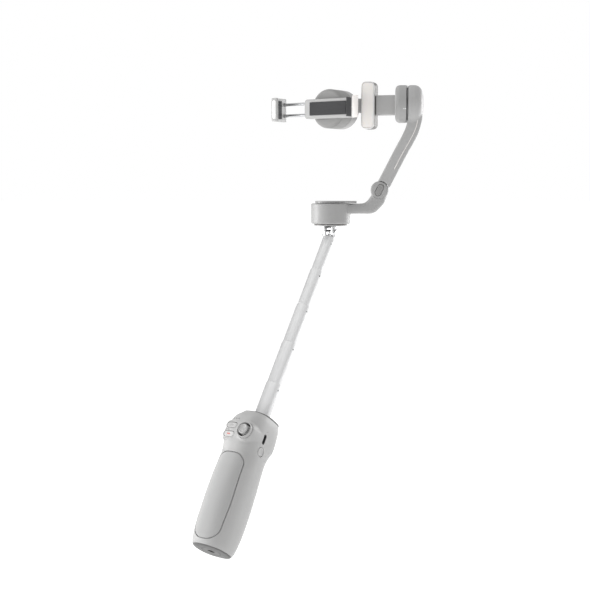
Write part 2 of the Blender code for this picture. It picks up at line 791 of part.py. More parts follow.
def make_upper_arm():
    hub_x, hub_z = FOLD_HUB
    inner_edge = (
        (0.0762, 0.1180), (0.0755, 0.1080), (0.0712, 0.0975), (0.0632, 0.0832), (0.0486, 0.0545),
    )
    outline = rounded(
        [(x, z, 0.0) for x, z in UPPER_OUTER]
        + [(0.0800, 0.1300, 0.0)]
        + [(x, z, 0.0) for x, z in inner_edge]
        + [(0.0460, 0.0500, 0.0), (0.0520, 0.0430, 0.0)]
    )
    arm = plate("upper_arm", outline, ARM_DEPTH, LIGHT_GREY, arm_plane, turn=FORWARD, edge=0.0026)
    hub = (hub_x, 0, hub_z)
    ring_room = cylinder("lug_room", HUB_RADIUS + GAP, 0.0200, None, arm_plane, hub, FORWARD, 28)
    knuckle = cylinder(
        "upper_knuckle", HUB_RADIUS - 0.0002, 2 * KNUCKLE_HALF, None, arm_plane, hub, FORWARD, 28
    )
    root = plate(
        "knuckle_root",
        [(0.0, -0.0040), (0.0090, -0.0040), (0.0120, 0.0040), (0.0, 0.0040)],
        2 * KNUCKLE_HALF, None, arm_plane, hub, (FORWARD[0], -ARM_RISE, 0),
    )
    drum = [
        (0.0, 0.0912), (0.0090, 0.0907), (0.0140, 0.0893), (0.0170, 0.0868), (TILT_RADIUS, 0.0835),
        (TILT_RADIUS, TILT_SEAM + 0.0005), (TILT_RADIUS - 0.0005, TILT_SEAM), (TILT_CAVITY, TILT_SEAM),
        (TILT_CAVITY, 0.0858), (0.0, 0.0858),
    ]
    drum_body = turned("upper_arm_drum", drum, None, arm_plane, (0, 0, TILT_HEIGHT), ALONG_X, 32)
    cavity = cylinder(
        "tilt_cavity", 0.0170, 0.0150, None, arm_plane, (0.0856 - 0.0075, 0, TILT_HEIGHT), ALONG_X, 28
    )
    cut(arm, ring_room, cavity)
    join(arm, knuckle, root, drum_body)
    crown = [(0.0893, 0.1414), (0.0907, 0.1364), (0.0912, 0.1320)]
    edge = [(0.0660, 0.0600)] + list(UPPER_OUTER[1:5]) + [(0.0912, 0.1230)] + crown[::-1]
    cut(
        arm,
        cylinder("upper_fold_bore", 0.0021, 0.0300, None, arm_plane, hub, FORWARD, 16),
        plate("strip_seat", edge_band(edge, 0.0022, 0.0030), 0.0086, None, arm_plane, turn=FORWARD),
    )


def make_outer_strip():
    drum_side = [(0.0912, 0.1230), (0.0912, 0.1320), (0.0907, 0.1362)]
    edge = [(0.0668, 0.0616)] + list(UPPER_OUTER[1:5]) + drum_side
    plate(
        "outer_strip", edge_band(edge, 0.0018, 0.0002), 0.0080, LIGHT_GREY, arm_plane, turn=FORWARD,
        edge=0.0004,
    )


def make_tilt_group():
    cap = [
        (0.0, CAP_FLOOR), (TILT_CAVITY, CAP_FLOOR), (TILT_CAVITY, TILT_SEAM - 0.0005),
        (TILT_RADIUS - 0.0004, TILT_SEAM - 0.0005), (TILT_RADIUS, TILT_SEAM - 0.0009),
        (TILT_RADIUS, CAP_FACE + 0.0039), (0.0175, CAP_FACE + 0.0016), (0.0158, CAP_FACE + 0.0004),
        (0.0140, CAP_FACE), (0.0, CAP_FACE),
    ]
    tilt_cap = turned("tilt_cap", cap, LIGHT_GREY, tilt, turn=ALONG_X, steps=32)
    shaft = make_motor(
        "tilt_motor", tilt_side, tilt, (0, 0, 0), ALONG_X, TILT_CAVITY, 0.0715, 0.0815,
        (CAP_FLOOR - 0.0010, 0.0845), 0.0822,
    )
    join(tilt_cap, shaft)

    disc = [
        (0.0, 0.0200), (0.0178, 0.0200), (ROLL_RADIUS, 0.0186), (ROLL_RADIUS, ROLL_SEAM + 0.0004),
        (0.0170, ROLL_SEAM + 0.0004), (0.0170, 0.0180), (0.0, 0.0180),
    ]
    beam = box("crossbar", (0.0245, 0.0100, 2 * BAR_HALF), MID_GREY, bar, place=(0.0487, 0, 0), edge=0.0014)
    spindle = cylinder("crossbar_spindle", 0.0030, 0.0300, None, bar, (0.0290, 0, 0), ALONG_X, 20)
    stub = box("crossbar_stub", (0.0085, 0.0076, 0.0140), None, bar, place=(0.0183, 0, 0))
    housing = turned("roll_housing", disc, None, roll, turn=BACKWARD, steps=32)
    join(beam, spindle, stub)
    cut(
        beam,
        cylinder(
            "cap_room", TILT_RADIUS + 0.0010, 0.0300, None, arm_plane,
            (CAP_FACE - GAP + 0.0150, 0, TILT_HEIGHT), ALONG_X, 32,
        ),
        cylinder("roll_cavity", 0.0180, 0.0196, None, roll, (0, ROLL_SEAM, 0), BACKWARD, 28),
    )
    join(beam, housing)


def make_light():
    front = -LIGHT_DEPTH / 2
    body = box(
        "light_body", (LIGHT_WIDTH, LIGHT_DEPTH - BEZEL - GAP, LIGHT_HEIGHT), MID_GREY, light,
        place=(0, (BEZEL + GAP) / 2, 0), edge=0.0024, segments=3,
    )
    cut(
        body,
        cylinder("light_bore", 0.0033, 0.0200, None, light, turn=ALONG_X, steps=20),
        box("light_tray", (0.0096, 0.0014, 0.0400), None, light, place=(0, front + BEZEL + 0.0007, 0)),
    )
    bezel = box(
        "light_bezel", (LIGHT_WIDTH, BEZEL, LIGHT_HEIGHT), WHITE, light,
        place=(0, front + BEZEL / 2, 0), edge=0.0010,
    )
    cut(bezel, box("light_window", (0.0096, 0.0080, 0.0420), None, light, place=(0, front, 0)))
    box("light_diffuser", (0.0090, 0.0020, 0.0414), WHITE, light, place=(0, front + 0.0013, 0), edge=0.0004)
    box("light_board", (0.0084, 0.0008, 0.0380), BOARD, light, place=(0, front + BEZEL + 0.0007, 0))


def make_roll_and_clamp():
    drum = [
        (0.0, -0.0070), (0.0170, -0.0070), (0.0170, ROLL_SEAM), (ROLL_RADIUS - 0.0004, ROLL_SEAM),
        (ROLL_RADIUS, ROLL_SEAM - 0.0004), (ROLL_RADIUS, -0.0070), (0.0180, -0.0086), (0.0165, -0.0090),
        (0.0, -0.0090),
    ]
    roll_drum = turned("roll_drum", drum, LIGHT_GREY, roll, turn=BACKWARD, steps=32)
    shaft = make_motor(
        "roll_motor", roll_side, roll, (0, 0, 0), BACKWARD, 0.0170, -0.0045, 0.0085, (-0.0080, 0.0175), 0.0145
    )
    join(roll_drum, shaft)

    middle = (BASE_LEFT + BASE_RIGHT) / 2
    base = box(
        "clamp_base", (BASE_RIGHT - BASE_LEFT, BASE_BACK - BASE_FRONT, 0.0190), MID_GREY, clamp,
        place=(middle, (BASE_FRONT + BASE_BACK) / 2, 0), edge=0.0016,
    )
    rails = []
    for side, z in (("upper", RAIL_Z), ("lower", -RAIL_Z)):
        rails.append(
            cylinder(
                f"{side}_rail_bore", 0.0018, 0.0540, None, clamp, (BASE_LEFT + 0.0265, RAIL_Y, z), ALONG_X, 16
            )
        )
        cylinder(
            f"{side}_clamp_rail", RAIL_RADIUS, RAIL_END - RAIL_START, STEEL, clamp,
            ((RAIL_START + RAIL_END) / 2, RAIL_Y, z), ALONG_X, 14,
        )
    rails.append(
        cylinder("spring_bore", 0.0025, 0.0400, None, clamp, (BASE_LEFT + 0.0190, RAIL_Y, 0), ALONG_X, 16)
    )
    cut(base, *rails)
    make_spring()
    pad = 0.0011
    box("clamp_back_pad", (0.0420, pad, 0.0130), RUBBER, clamp, place=(middle, BASE_FRONT - pad / 2 - GAP, 0))

    half = JAW_HALF_HEIGHT
    right = rounded(
        (
            (RIGHT_JAW_X + 0.0002, BASE_BACK - 0.0003, 0.0), (RIGHT_JAW_X, -0.0284, 0.0008),
            (0.0346, -0.0287, 0.0006), (0.0344, -0.0303, 0.0008), (0.0358, JAW_LIP, 0.0012),
            (0.0400, JAW_LIP, 0.0012), (0.0400, -0.0257, 0.0), (0.0483, -0.0257, 0.0012),
            (0.0483, -0.0228, 0.0010), (0.0424, -0.0216, 0.0015), (0.0414, BASE_BACK - 0.0003, 0.0020),
        )
    )
    right_jaw = plate("right_jaw", right, 2 * half, LIGHT_GREY, clamp, edge=0.0008, segments=1)
    corner = [(0.0330, 0.0068), (0.0346, 0.0068), (0.0386, half), (0.0386, 0.0160), (0.0330, 0.0160)]
    cut(
        right_jaw,
        plate("upper_corner", corner, 0.0040, None, clamp, (0, -0.0304, 0), FORWARD),
        plate(
            "lower_corner", [(x, -z) for x, z in corner[::-1]], 0.0040, None, clamp, (0, -0.0304, 0), FORWARD
        ),
    )
    left = rounded(
        (
            (LEFT_JAW_X, BASE_BACK - 0.0005, 0.0010), (-0.0508, BASE_BACK - 0.0005, 0.0020),
            (-0.0508, JAW_LIP, 0.0016), (-0.0432, JAW_LIP, 0.0010), (-0.0432, -0.0287, 0.0008),
            (LEFT_JAW_X, -0.0284, 0.0008),
        )
    )
    left_jaw = plate("left_jaw", left, 2 * half, LIGHT_GREY, clamp, edge=0.0008, segments=1)
    cut(
        left_jaw,
        *[
            cylinder(
                f"left_jaw_socket_{i}", 0.0018, 0.0050, None, clamp,
                (LEFT_JAW_X, RAIL_Y, z), ALONG_X, 16,
            )
            for i, z in enumerate((RAIL_Z, -RAIL_Z))
        ],
    )
    pads = (("right_jaw_pad", RIGHT_JAW_X - PAD / 2 - GAP), ("left_jaw_pad", LEFT_JAW_X + PAD / 2 + GAP))
    for name, x in pads:
        box(name, (PAD, 0.0076, 0.0180), RUBBER, clamp, place=(x, -0.0236, 0), edge=0.0003)


def make_spring():
    """The extension spring that pulls the sliding jaw in, in its bore in the clamp base."""
    coils = 9
    per_turn = 6
    radius = 0.0018
    length = 0.0360
    curve = bpy.data.curves.new("clamp_spring", "CURVE")
    curve.dimensions = "3D"
    curve.bevel_depth = 0.0003
    curve.bevel_resolution = 0
    curve.use_fill_caps = True
    spline = curve.splines.new("POLY")
    count = coils * per_turn
    spline.points.add(count)
    for i, point in enumerate(spline.points):
        turn = 2 * math.pi * i / per_turn
        point.co = (length * i / count, radius * math.cos(turn), radius * math.sin(turn), 1.0)
    curve.materials.append(STEEL)
    made = bpy.data.objects.new("clamp_spring", curve)
    PARTS.objects.link(made)
    made.parent = clamp
    made.location = (BASE_LEFT + 0.0006, RAIL_Y, 0)


for make in (
    make_handle, make_handle_ends, make_inside, make_controls, make_rod, make_neck, make_lower_arm,
    make_upper_arm, make_outer_strip, make_tilt_group, make_light, make_roll_and_clamp,
):
    make()
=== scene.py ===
"""Looks for the folding phone gimbal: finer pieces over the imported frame, materials, light and camera."""

import json
import math

import bmesh
import bpy
from mathutils import Matrix, Vector

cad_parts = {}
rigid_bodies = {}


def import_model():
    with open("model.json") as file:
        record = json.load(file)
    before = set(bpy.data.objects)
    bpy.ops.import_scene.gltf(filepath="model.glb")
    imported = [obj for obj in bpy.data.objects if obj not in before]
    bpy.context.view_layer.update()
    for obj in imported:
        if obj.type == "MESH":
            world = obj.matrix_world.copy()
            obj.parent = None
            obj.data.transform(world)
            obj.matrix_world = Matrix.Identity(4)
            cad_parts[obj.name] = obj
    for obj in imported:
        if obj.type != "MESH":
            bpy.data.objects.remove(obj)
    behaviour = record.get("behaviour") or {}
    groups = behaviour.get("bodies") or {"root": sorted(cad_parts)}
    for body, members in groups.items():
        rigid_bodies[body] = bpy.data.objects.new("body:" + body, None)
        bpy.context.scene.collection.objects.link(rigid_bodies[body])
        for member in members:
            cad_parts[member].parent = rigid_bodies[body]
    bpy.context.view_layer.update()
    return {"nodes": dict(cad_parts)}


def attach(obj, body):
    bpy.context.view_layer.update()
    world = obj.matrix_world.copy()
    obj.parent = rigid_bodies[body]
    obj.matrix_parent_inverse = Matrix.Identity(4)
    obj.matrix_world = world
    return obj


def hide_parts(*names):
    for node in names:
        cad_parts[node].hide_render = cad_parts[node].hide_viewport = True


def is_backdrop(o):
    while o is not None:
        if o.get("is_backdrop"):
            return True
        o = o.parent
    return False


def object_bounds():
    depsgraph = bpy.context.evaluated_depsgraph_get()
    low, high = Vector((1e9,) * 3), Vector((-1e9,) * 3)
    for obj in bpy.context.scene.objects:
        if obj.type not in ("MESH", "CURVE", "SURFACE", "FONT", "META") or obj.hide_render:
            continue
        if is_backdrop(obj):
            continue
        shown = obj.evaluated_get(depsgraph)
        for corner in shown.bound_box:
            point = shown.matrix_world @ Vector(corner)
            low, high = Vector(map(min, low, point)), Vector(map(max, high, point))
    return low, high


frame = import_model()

# ---------------------------------------------------------------- sizes shared with the frame, in metres

LEAN = math.radians(34.7)
HANDLE_TOP = 0.131
WALL = 0.0022
NECK_PIVOT = 0.337
SECTION_TOPS = (0.1674, 0.2113, 0.2531, 0.2932, 0.332)
SECTION_RADII = (0.0075, 0.007, 0.0065, 0.006, 0.0055)
# height, half width, half depth, shift to the front, squareness
HANDLE_SECTIONS = (
    (0.000, 0.0166, 0.0164, -0.0008, 2.3),
    (0.0012, 0.0178, 0.0177, -0.0004, 2.3),
    (0.004, 0.019, 0.0189, -0.0004, 2.3),
    (0.012, 0.0199, 0.0201, 0.0, 2.4),
    (0.025, 0.0203, 0.0216, 0.0006, 2.4),
    (0.045, 0.0204, 0.0221, 0.0018, 2.4),
    (0.065, 0.0201, 0.0216, 0.0031, 2.4),
    (0.08, 0.0198, 0.0202, 0.0038, 2.4),
    (0.09, 0.0195, 0.0195, 0.0041, 2.5),
    (0.098, 0.0191, 0.0215, 0.0046, 2.9),
    (0.105, 0.0189, 0.0232, 0.0036, 3.2),
    (0.116, 0.0186, 0.0226, 0.0038, 3.2),
    (0.124, 0.0176, 0.0206, 0.0024, 3.0),
    (0.131, 0.015, 0.0177, -0.0004, 2.7),
)
PANEL_FRONT = 0.0264
STICK = (0.0092, 0.1072)
BUTTONS_X = -0.008
MODE_Z = 0.1112
RECORD_Z = 0.1024
DISH = 0.04  # radius of the hollow in a key
PAN_RADIUS = 0.0195
DRUM_LOW = 0.0095
DRUM_HIGH = 0.0298
COVER_HIGH = 0.0322
ARM_TURN = math.radians(30)
ARM_DEPTH = 0.015
HUB = (0.0486, 0.043)
HUB_RADIUS = 0.0088
KNUCKLE_HALF = 0.0034
TILT_HEIGHT = 0.1274
TILT_SEAM = 0.0754
TILT_RADIUS = 0.0184
CAP_FACE = 0.0636
CAP_FLOOR = 0.0656
ROLL_RADIUS = 0.0192
RAIL_HEIGHTS = (0.0055, -0.0055)
GAP = 0.0003


def at(x, y, z):
    return Matrix.Translation((x, y, z))


def turned(degrees, axis):
    return Matrix.Rotation(math.radians(degrees), 4, axis)


HANDLE = Matrix.Rotation(-LEAN, 4, "X")
PIVOT = HANDLE @ Vector((0, 0, NECK_PIVOT))
HEAD = at(*PIVOT)
ARM = HEAD @ Matrix.Rotation(ARM_TURN, 4, "Z")
TILT = ARM @ at(0, 0, TILT_HEIGHT)
BAR = HEAD @ at(0.002, 0.015, 0.1264) @ turned(18, "Z")
LIGHT = BAR @ at(0.0296, 0, 0)
ROLL = HEAD @ at(0.002, 0, 0.1228)
CLAMP = HEAD @ at(0, 0, 0.1225)
FORWARD = turned(90, "X")
BACKWARD = turned(-90, "X")
ALONG_X = turned(90, "Y")
QUARTER = turned(90, "Z")
RISE = turned(62.9, "Z")  # the upper arm's slope


CUT, JOIN = "DIFFERENCE", "UNION"
PALE, MID, DEEP = "light_grey_plastic", "mid_grey_plastic", "dark_grey_plastic"

# ---------------------------------------------------------------- materials


class Nodes:
    """A short way to write a node tree."""

    def __init__(self, material):
        self.tree = material.node_tree
        self.shader = self.tree.nodes["Principled BSDF"]
        self.where = self.add("ShaderNodeTexCoord").outputs["Object"]

    def add(self, kind, inputs=()):
        node = self.tree.nodes.new(kind)
        for name, value in dict(inputs).items():
            self.put(node.inputs[name], value)
        return node

    def put(self, socket, value):
        if isinstance(value, bpy.types.NodeSocket):
            self.tree.links.new(value, socket)
        else:
            socket.default_value = value

    def set(self, name, value):
        """Give the shader's own socket a value or a link."""
        self.put(self.shader.inputs[name], value)

    def math(self, operation, a, b=0.0):
        node = self.add("ShaderNodeMath", {0: a, 1: b})
        node.operation = operation
        return node.outputs[0]

    def noise(self, scale, detail=2.0, rough=0.5, where=None):
        inputs = {"Vector": where or self.where, "Scale": scale, "Detail": detail, "Roughness": rough}
        return self.add("ShaderNodeTexNoise", inputs).outputs["Fac"]

    def cells(self, scale):
        return self.add("ShaderNodeTexVoronoi", {"Vector": self.where, "Scale": scale}).outputs["Distance"]

    def ramp(self, value, *stops):
        node = self.add("ShaderNodeValToRGB", {0: value})
        while len(node.color_ramp.elements) < len(stops):
            node.color_ramp.elements.new(0.5)
        for element, (place, grey) in zip(node.color_ramp.elements, stops):
            element.position = place
            element.color = (*grey, 1.0) if isinstance(grey, tuple) else (grey, grey, grey, 1.0)
        return node.outputs["Color"]

    def mix(self, share, a, b, blend="MIX"):
        node = self.tree.nodes.new("ShaderNodeMix")
        node.data_type = "RGBA"
        node.blend_type = blend
        for spot, value in ((0, share), (6, a), (7, b)):
            self.put(node.inputs[spot], value)
        return node.outputs[2]

    def bump(self, height, strength, distance, under=None):
        inputs = {"Height": height, "Strength": strength, "Distance": distance}
        if under is not None:
            inputs["Normal"] = under
        return self.add("ShaderNodeBump", inputs).outputs["Normal"]


def shade(colour, factor):
    return (*(min(1.0, max(0.0, c * factor)) for c in colour), 1.0)


def new_material(name):
    made = bpy.data.materials.new(name)
    made.use_nodes = True
    return made, Nodes(made)


def plastic(name, colour, rough=0.5, grain=3200.0, depth=0.000035, wear=0.1, mottle=0.035, specular=0.45, coat=0.0):
    """Moulded plastic: spark-eroded grain, faint flow mottling, smoother and lighter along worn edges."""
    made, n = new_material(name)
    cloud = n.noise(55.0, 4.0, 0.55)
    pits = n.noise(grain, 2.0, 0.6)
    edge = n.add("ShaderNodeNewGeometry").outputs["Pointiness"]
    worn = n.math("MULTIPLY", n.ramp(edge, (0.505, 0.0), (0.56, 1.0)), n.noise(420.0, 3.0))
    tone = n.mix(cloud, shade(colour, 1 - mottle), shade(colour, 1 + mottle))
    speck = n.mix(n.ramp(pits, (0.35, 0.0), (0.65, 1.0)), shade(colour, 0.965), (1, 1, 1, 1))
    fine = n.mix(0.12, tone, speck, "MULTIPLY")
    n.set("Base Color", n.mix(n.math("MULTIPLY", worn, wear * 3), fine, shade(colour, 1.22)))
    rough_cloud = n.math("MULTIPLY", n.math("SUBTRACT", n.noise(180.0, 3.0), 0.5), 0.16)
    base = n.math("ADD", rough_cloud, rough)
    n.set("Roughness", n.math("SUBTRACT", base, n.math("MULTIPLY", worn, 0.14)))
    n.set("Normal", n.bump(pits, 0.5, depth))
    n.set("Specular IOR Level", specular)
    if coat:
        n.set("Coat Weight", coat)
        n.set("Coat Roughness", 0.25)
    return made


def soft_touch(name, colour):
    """Rubbery soft-touch skin: a close dimpled texture under a velvety sheen, polished where a hand rubs."""
    made, n = new_material(name)
    cells = n.cells(1500.0)
    cloud = n.noise(40.0, 4.0)
    rubbed = n.ramp(n.noise(26.0, 2.0), (0.42, 0.0), (0.68, 1.0))
    n.set("Base Color", n.mix(cloud, shade(colour, 0.95), shade(colour, 1.04)))
    n.set("Roughness", n.math("SUBTRACT", 0.72, n.math("MULTIPLY", rubbed, 0.1)))
    n.set("Normal", n.bump(cells, 0.45, 0.00006, n.bump(n.noise(6000.0), 0.3, 0.00002)))
    n.set("Specular IOR Level", 0.35)
    n.set("Sheen Weight", 0.18)
    n.set("Sheen Roughness", 0.45)
    return made


def metal(name, colour, rough, streak=0.0, streak_scale=900.0, lengthwise=1.0, lean=0.0, share=1.0):
    """Metal with drawn lines along Z leaned back by an angle, smudges in its gloss, and fine scratches."""
    made, n = new_material(name)
    upright = n.add("ShaderNodeMapping", {"Vector": n.where, "Rotation": (lean, 0.0, 0.0)}).outputs["Vector"]
    squash = n.add("ShaderNodeMapping", {"Vector": upright, "Scale": (1.0, 1.0, lengthwise)}).outputs["Vector"]
    lines = n.noise(streak_scale, 3.0, 0.6, squash)
    cloud = n.noise(120.0, 4.0)
    drawn = n.ramp(lines, (0.4, 1.0 - streak), (0.6, 1.0))
    flat = n.mix(cloud, shade(colour, 0.94), shade(colour, 1))
    n.set("Base Color", n.mix(1.0, flat, drawn, "MULTIPLY"))
    n.set("Metallic", share)
    smudge = n.math("MULTIPLY", n.ramp(n.noise(70.0, 5.0), (0.45, 0.0), (0.75, 1.0)), 0.1)
    n.set("Roughness", n.math("ADD", smudge, rough))
    n.set("Normal", n.bump(lines, 0.35, 0.000004))
    return made


def lit_panel(name, colour, glow):
    """A milky diffuser with a prismatic micro texture, glowing faintly from the diodes behind it."""
    made, n = new_material(name)
    cells = n.cells(900.0)
    cloud = n.noise(90.0, 3.0)
    tone = n.mix(cloud, shade(colour, 0.97), shade(colour, 1))
    n.set("Base Color", tone)
    n.set("Emission Color", tone)
    n.set("Emission Strength", glow)
    n.set("Subsurface Weight", 0.25)
    n.set("Subsurface Radius", (0.002, 0.0015, 0.001))
    n.set("Subsurface Scale", 0.5)
    n.set("Roughness", n.math("ADD", 0.28, n.math("MULTIPLY", cloud, 0.12)))
    n.set("Normal", n.bump(cells, 0.25, 0.00004))
    return made


SHELL = plastic("moulded_light_grey", (0.465, 0.464, 0.461))
SHELL_HEAD = plastic("moulded_head_grey", (0.395, 0.394, 0.392), rough=0.4)
# The arm's grey is lighter than the head's: painted sheen, standing in for the brighter reflections on the arm's face.
SHELL_ARM_SHEEN = plastic("moulded_arm_grey_painted_sheen", (0.445, 0.444, 0.442), rough=0.4)
ACCENT = plastic("moulded_mid_grey", (0.3, 0.298, 0.295), rough=0.52)
DARK = plastic("moulded_dark_grey", (0.06, 0.06, 0.062), rough=0.55, wear=0.05)
BLACK = plastic("moulded_black", (0.012, 0.012, 0.013), rough=0.5, wear=0.04)
CAP_GREY = plastic("moulded_base_grey", (0.135, 0.134, 0.133), rough=0.55, grain=2200.0, depth=0.00006)
LIGHT_BACK = plastic("moulded_light_back", (0.17, 0.165, 0.16), rough=0.45)
CREAM = plastic("moulded_cream", (0.74, 0.715, 0.695), rough=0.42, mottle=0.02)
BUTTON = plastic("moulded_button", (0.52, 0.518, 0.514), rough=0.42, depth=0.00002)
GLOSS = plastic("moulded_glossy_key", (0.66, 0.655, 0.65), rough=0.3, depth=0.00001, mottle=0.015, coat=0.5)
FAINT_INK = plastic("printed_faint_grey", (0.42, 0.418, 0.415), rough=0.5, depth=0.00001)
RED_INK = plastic("printed_red", (0.68, 0.23, 0.21), rough=0.5, depth=0.00001)
WHITE_INK = plastic("printed_white", (0.88, 0.88, 0.875), rough=0.5, depth=0.00001)
GRIP = soft_touch("soft_touch_grey", (0.435, 0.435, 0.433))
RUBBER = soft_touch("pad_rubber", (0.05, 0.05, 0.053))
ROD = metal("polished_rod", (0.93, 0.932, 0.935), 0.3, 0.05, 700.0, lengthwise=0.02, lean=LEAN, share=0.35)
CHROME = metal("cast_chrome", (0.9, 0.902, 0.905), 0.24, streak=0.05, streak_scale=300.0)
STEEL = metal("ground_steel", (0.6, 0.605, 0.615), 0.3, streak=0.12)
INSERT = metal("blackened_insert", (0.09, 0.088, 0.085), 0.42, streak=0.1)
COPPER = metal("wound_copper", (0.72, 0.33, 0.15), 0.35, streak=0.35, lengthwise=40.0, streak_scale=60.0)
MAGNET = metal("magnet_nickel", (0.42, 0.42, 0.425), 0.34, streak=0.08, lengthwise=1.0)
CIRCUIT = plastic("circuit_green", (0.02, 0.115, 0.055), rough=0.35, grain=900.0, mottle=0.25, coat=0.5)
WRAP = plastic("cell_wrap_blue", (0.045, 0.13, 0.33), rough=0.25, grain=400.0, mottle=0.08, coat=0.6)
BEZEL_WHITE = plastic("bezel_white", (0.78, 0.775, 0.768), rough=0.34, mottle=0.015)
PANEL = lit_panel("warm_diffuser", (0.8, 0.775, 0.75), 0.16)
PIP = lit_panel("led_pip_unlit", (0.26, 0.26, 0.262), 0.0)

# ---------------------------------------------------------------- shapes


def linked(name, data):
    made = bpy.data.objects.new(name, data)
    bpy.context.scene.collection.objects.link(made)
    return made


def place(name, mesh, matrix, surface, body, nodes=(), slot=PALE, sharp=32):
    """Put a mesh in the scene on its body, standing for the CAD nodes named."""
    mesh.transform(matrix)
    made = linked(name, mesh)
    mesh.materials.clear()
    mesh.materials.append(surface)
    mesh.shade_smooth()
    mesh.set_sharp_from_angle(angle=math.radians(sharp))
    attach(made, body)
    if nodes:
        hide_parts(*nodes)


def mesh_of(build, name="shape"):
    work = bmesh.new()
    build(work)
    bmesh.ops.recalc_face_normals(work, faces=work.faces)
    mesh = bpy.data.meshes.new(name)
    work.to_mesh(mesh)
    work.free()
    return mesh


def walled(work, low, high):
    """Faces between two rings of equally many points."""
    for i in range(len(low)):
        j = (i + 1) % len(low)
        work.faces.new((low[i], low[j], high[j], high[i]))


def softened(profile, radius, steps=4, closed=False):
    """Round the corners of a line of (x, y) points."""
    line = [Vector(p) for p in profile]
    count = len(line)
    out = []
    for i, here in enumerate(line):
        before = line[i - 1] - here
        after = line[(i + 1) % count] - here
        end = not closed and i in (0, count - 1)
        half = 0.0 if end or min(before.length, after.length) < 1e-7 else before.angle(after) / 2
        if not math.radians(4) <= half <= math.radians(86):
            out.append(here)
            continue
        reach = min(radius / math.tan(half), before.length * 0.45, after.length * 0.45)
        first = here + before.normalized() * reach
        last = here + after.normalized() * reach
        for k in range(steps + 1):
            t = k / steps
            out.append(first * (1 - t) ** 2 + here * 2 * t * (1 - t) + last * t * t)
    return out


def spun(profile, steps=72, closed=False):
    """A mesh turned about local Z from (radius, height) points."""

    def build(work):
        rings = []
        for radius, height in profile:
            if radius < 1e-6:
                rings.append([work.verts.new((0, 0, height))])
                continue
            rings.append([work.verts.new((x, y, height)) for x, y in circle(radius, steps)])
        pairs = list(zip(rings, rings[1:]))
        if closed:
            pairs.append((rings[-1], rings[0]))
        for low, high in pairs:
            for i in range(steps):
                j = (i + 1) % steps
                corners = [low[i % len(low)], low[j % len(low)], high[j % len(high)], high[i % len(high)]]
                unique = list(dict.fromkeys(corners))
                if len(unique) > 2:
                    work.faces.new(unique)

    return mesh_of(build)


def slab(outline, thickness, edge=0.0, segments=3):
    """An outline given thickness about local Z, with rounded edges."""

    def build(work):
        low = [work.verts.new((x, y, -thickness / 2)) for x, y in outline]
        high = [work.verts.new((x, y, thickness / 2)) for x, y in outline]
        work.faces.new(low)
        work.faces.new(high)
        walled(work, low, high)

    mesh = mesh_of(build)
    return with_bevel(mesh, edge, segments) if edge else mesh


def disc(radius, thickness, steps=48):
    return slab(circle(radius, steps), thickness)


def block(size, edge=0.0, segments=3):
    x, y, z = (s / 2 for s in size)
    mesh = slab([(x, y), (-x, y), (-x, -y), (x, -y)], 2 * z)
    return with_bevel(mesh, edge, segments) if edge else mesh


def settled(thing):
    """The object's mesh with its modifiers applied. The object itself is removed."""
    bpy.context.view_layer.update()
    graph = bpy.context.evaluated_depsgraph_get()
    mesh = bpy.data.meshes.new_from_object(thing.evaluated_get(graph))
    bpy.data.objects.remove(thing, do_unlink=True)
    return mesh


def temporary(mesh, matrix=None):
    made = linked("working", mesh)
    if matrix is not None:
        made.matrix_world = matrix
    return made


def with_bevel(mesh, width, segments=3, angle=30):
    thing = temporary(mesh)
    made = thing.modifiers.new("edge", "BEVEL")
    made.width, made.segments = width, segments
    made.limit_method, made.angle_limit = "ANGLE", math.radians(angle)
    made.use_clamp_overlap = True
    return settled(thing)


def combined(mesh, matrix, *others):
    """Join or cut with (operation, mesh, matrix) solids, in the frame of the first."""
    thing = temporary(mesh, matrix)
    helpers = []
    for operation, other, where in others:
        helper = temporary(other, where)
        helpers.append(helper)
        made = thing.modifiers.new("solid", "BOOLEAN")
        made.operation = operation
        made.solver = "EXACT"
        made.object = helper
    out = settled(thing)
    for helper in helpers:
        bpy.data.objects.remove(helper, do_unlink=True)
    return out


def melted(mesh, voxel, rounds):
    """Remesh a solid finely and relax it, so that its parts flow into one another."""
    thing = temporary(mesh)
    remesh = thing.modifiers.new("voxels", "REMESH")
    remesh.mode = "VOXEL"
    remesh.voxel_size = voxel
    relax = thing.modifiers.new("relax", "CORRECTIVE_SMOOTH")
    relax.factor = 0.5
    relax.iterations = rounds
    relax.use_only_smooth = True
    return settled(thing)


def pill(width, height, radius, steps=8):
    w, h = width / 2, height / 2
    outline = []
    for corner, (side, end) in enumerate(((1, 1), (-1, 1), (-1, -1), (1, -1))):
        for k in range(steps + 1):
            x, y = around(radius, 90 * corner + 90 * k / steps)
            outline.append((side * (w - radius) + x, end * (h - radius) + y))
    return outline


def around(radius, degrees):
    return radius * math.cos(math.radians(degrees)), radius * math.sin(math.radians(degrees))


def circle(radius, steps=48):
    turns = (2 * math.pi * i / steps for i in range(steps))
    return [(radius * math.cos(turn), radius * math.sin(turn)) for turn in turns]


def hoop(outer, inner, low, high, edge=0.0002, steps=72):
    """A ring's mesh with softened edges."""
    line = softened([(outer, high), (outer, low), (inner, low), (inner, high)], edge, 3, closed=True)
    return spun(line, steps, closed=True)


def drawn(points, radius, steps=10, closed=False):
    """A round wire along points."""
    curve = bpy.data.curves.new("wire", "CURVE")
    curve.dimensions = "3D"
    curve.bevel_depth = radius
    curve.bevel_resolution = max(1, steps // 4)
    curve.use_fill_caps = True
    spline = curve.splines.new("POLY")
    spline.points.add(len(points) - 1)
    for point, place_ in zip(spline.points, points):
        point.co = (*place_, 1.0)
    spline.use_cyclic_u = closed
    thing = linked("wire", curve)
    return settled(thing)


# ---------------------------------------------------------------- handle


def hermite(before, first, second, after, share):
    square, cube = share * share, share ** 3
    return (
        (2 * cube - 3 * square + 1) * first
        + (cube - 2 * square + share) * (second - before) / 2
        + (3 * square - 2 * cube) * second
        + (cube - square) * (after - first) / 2
    )


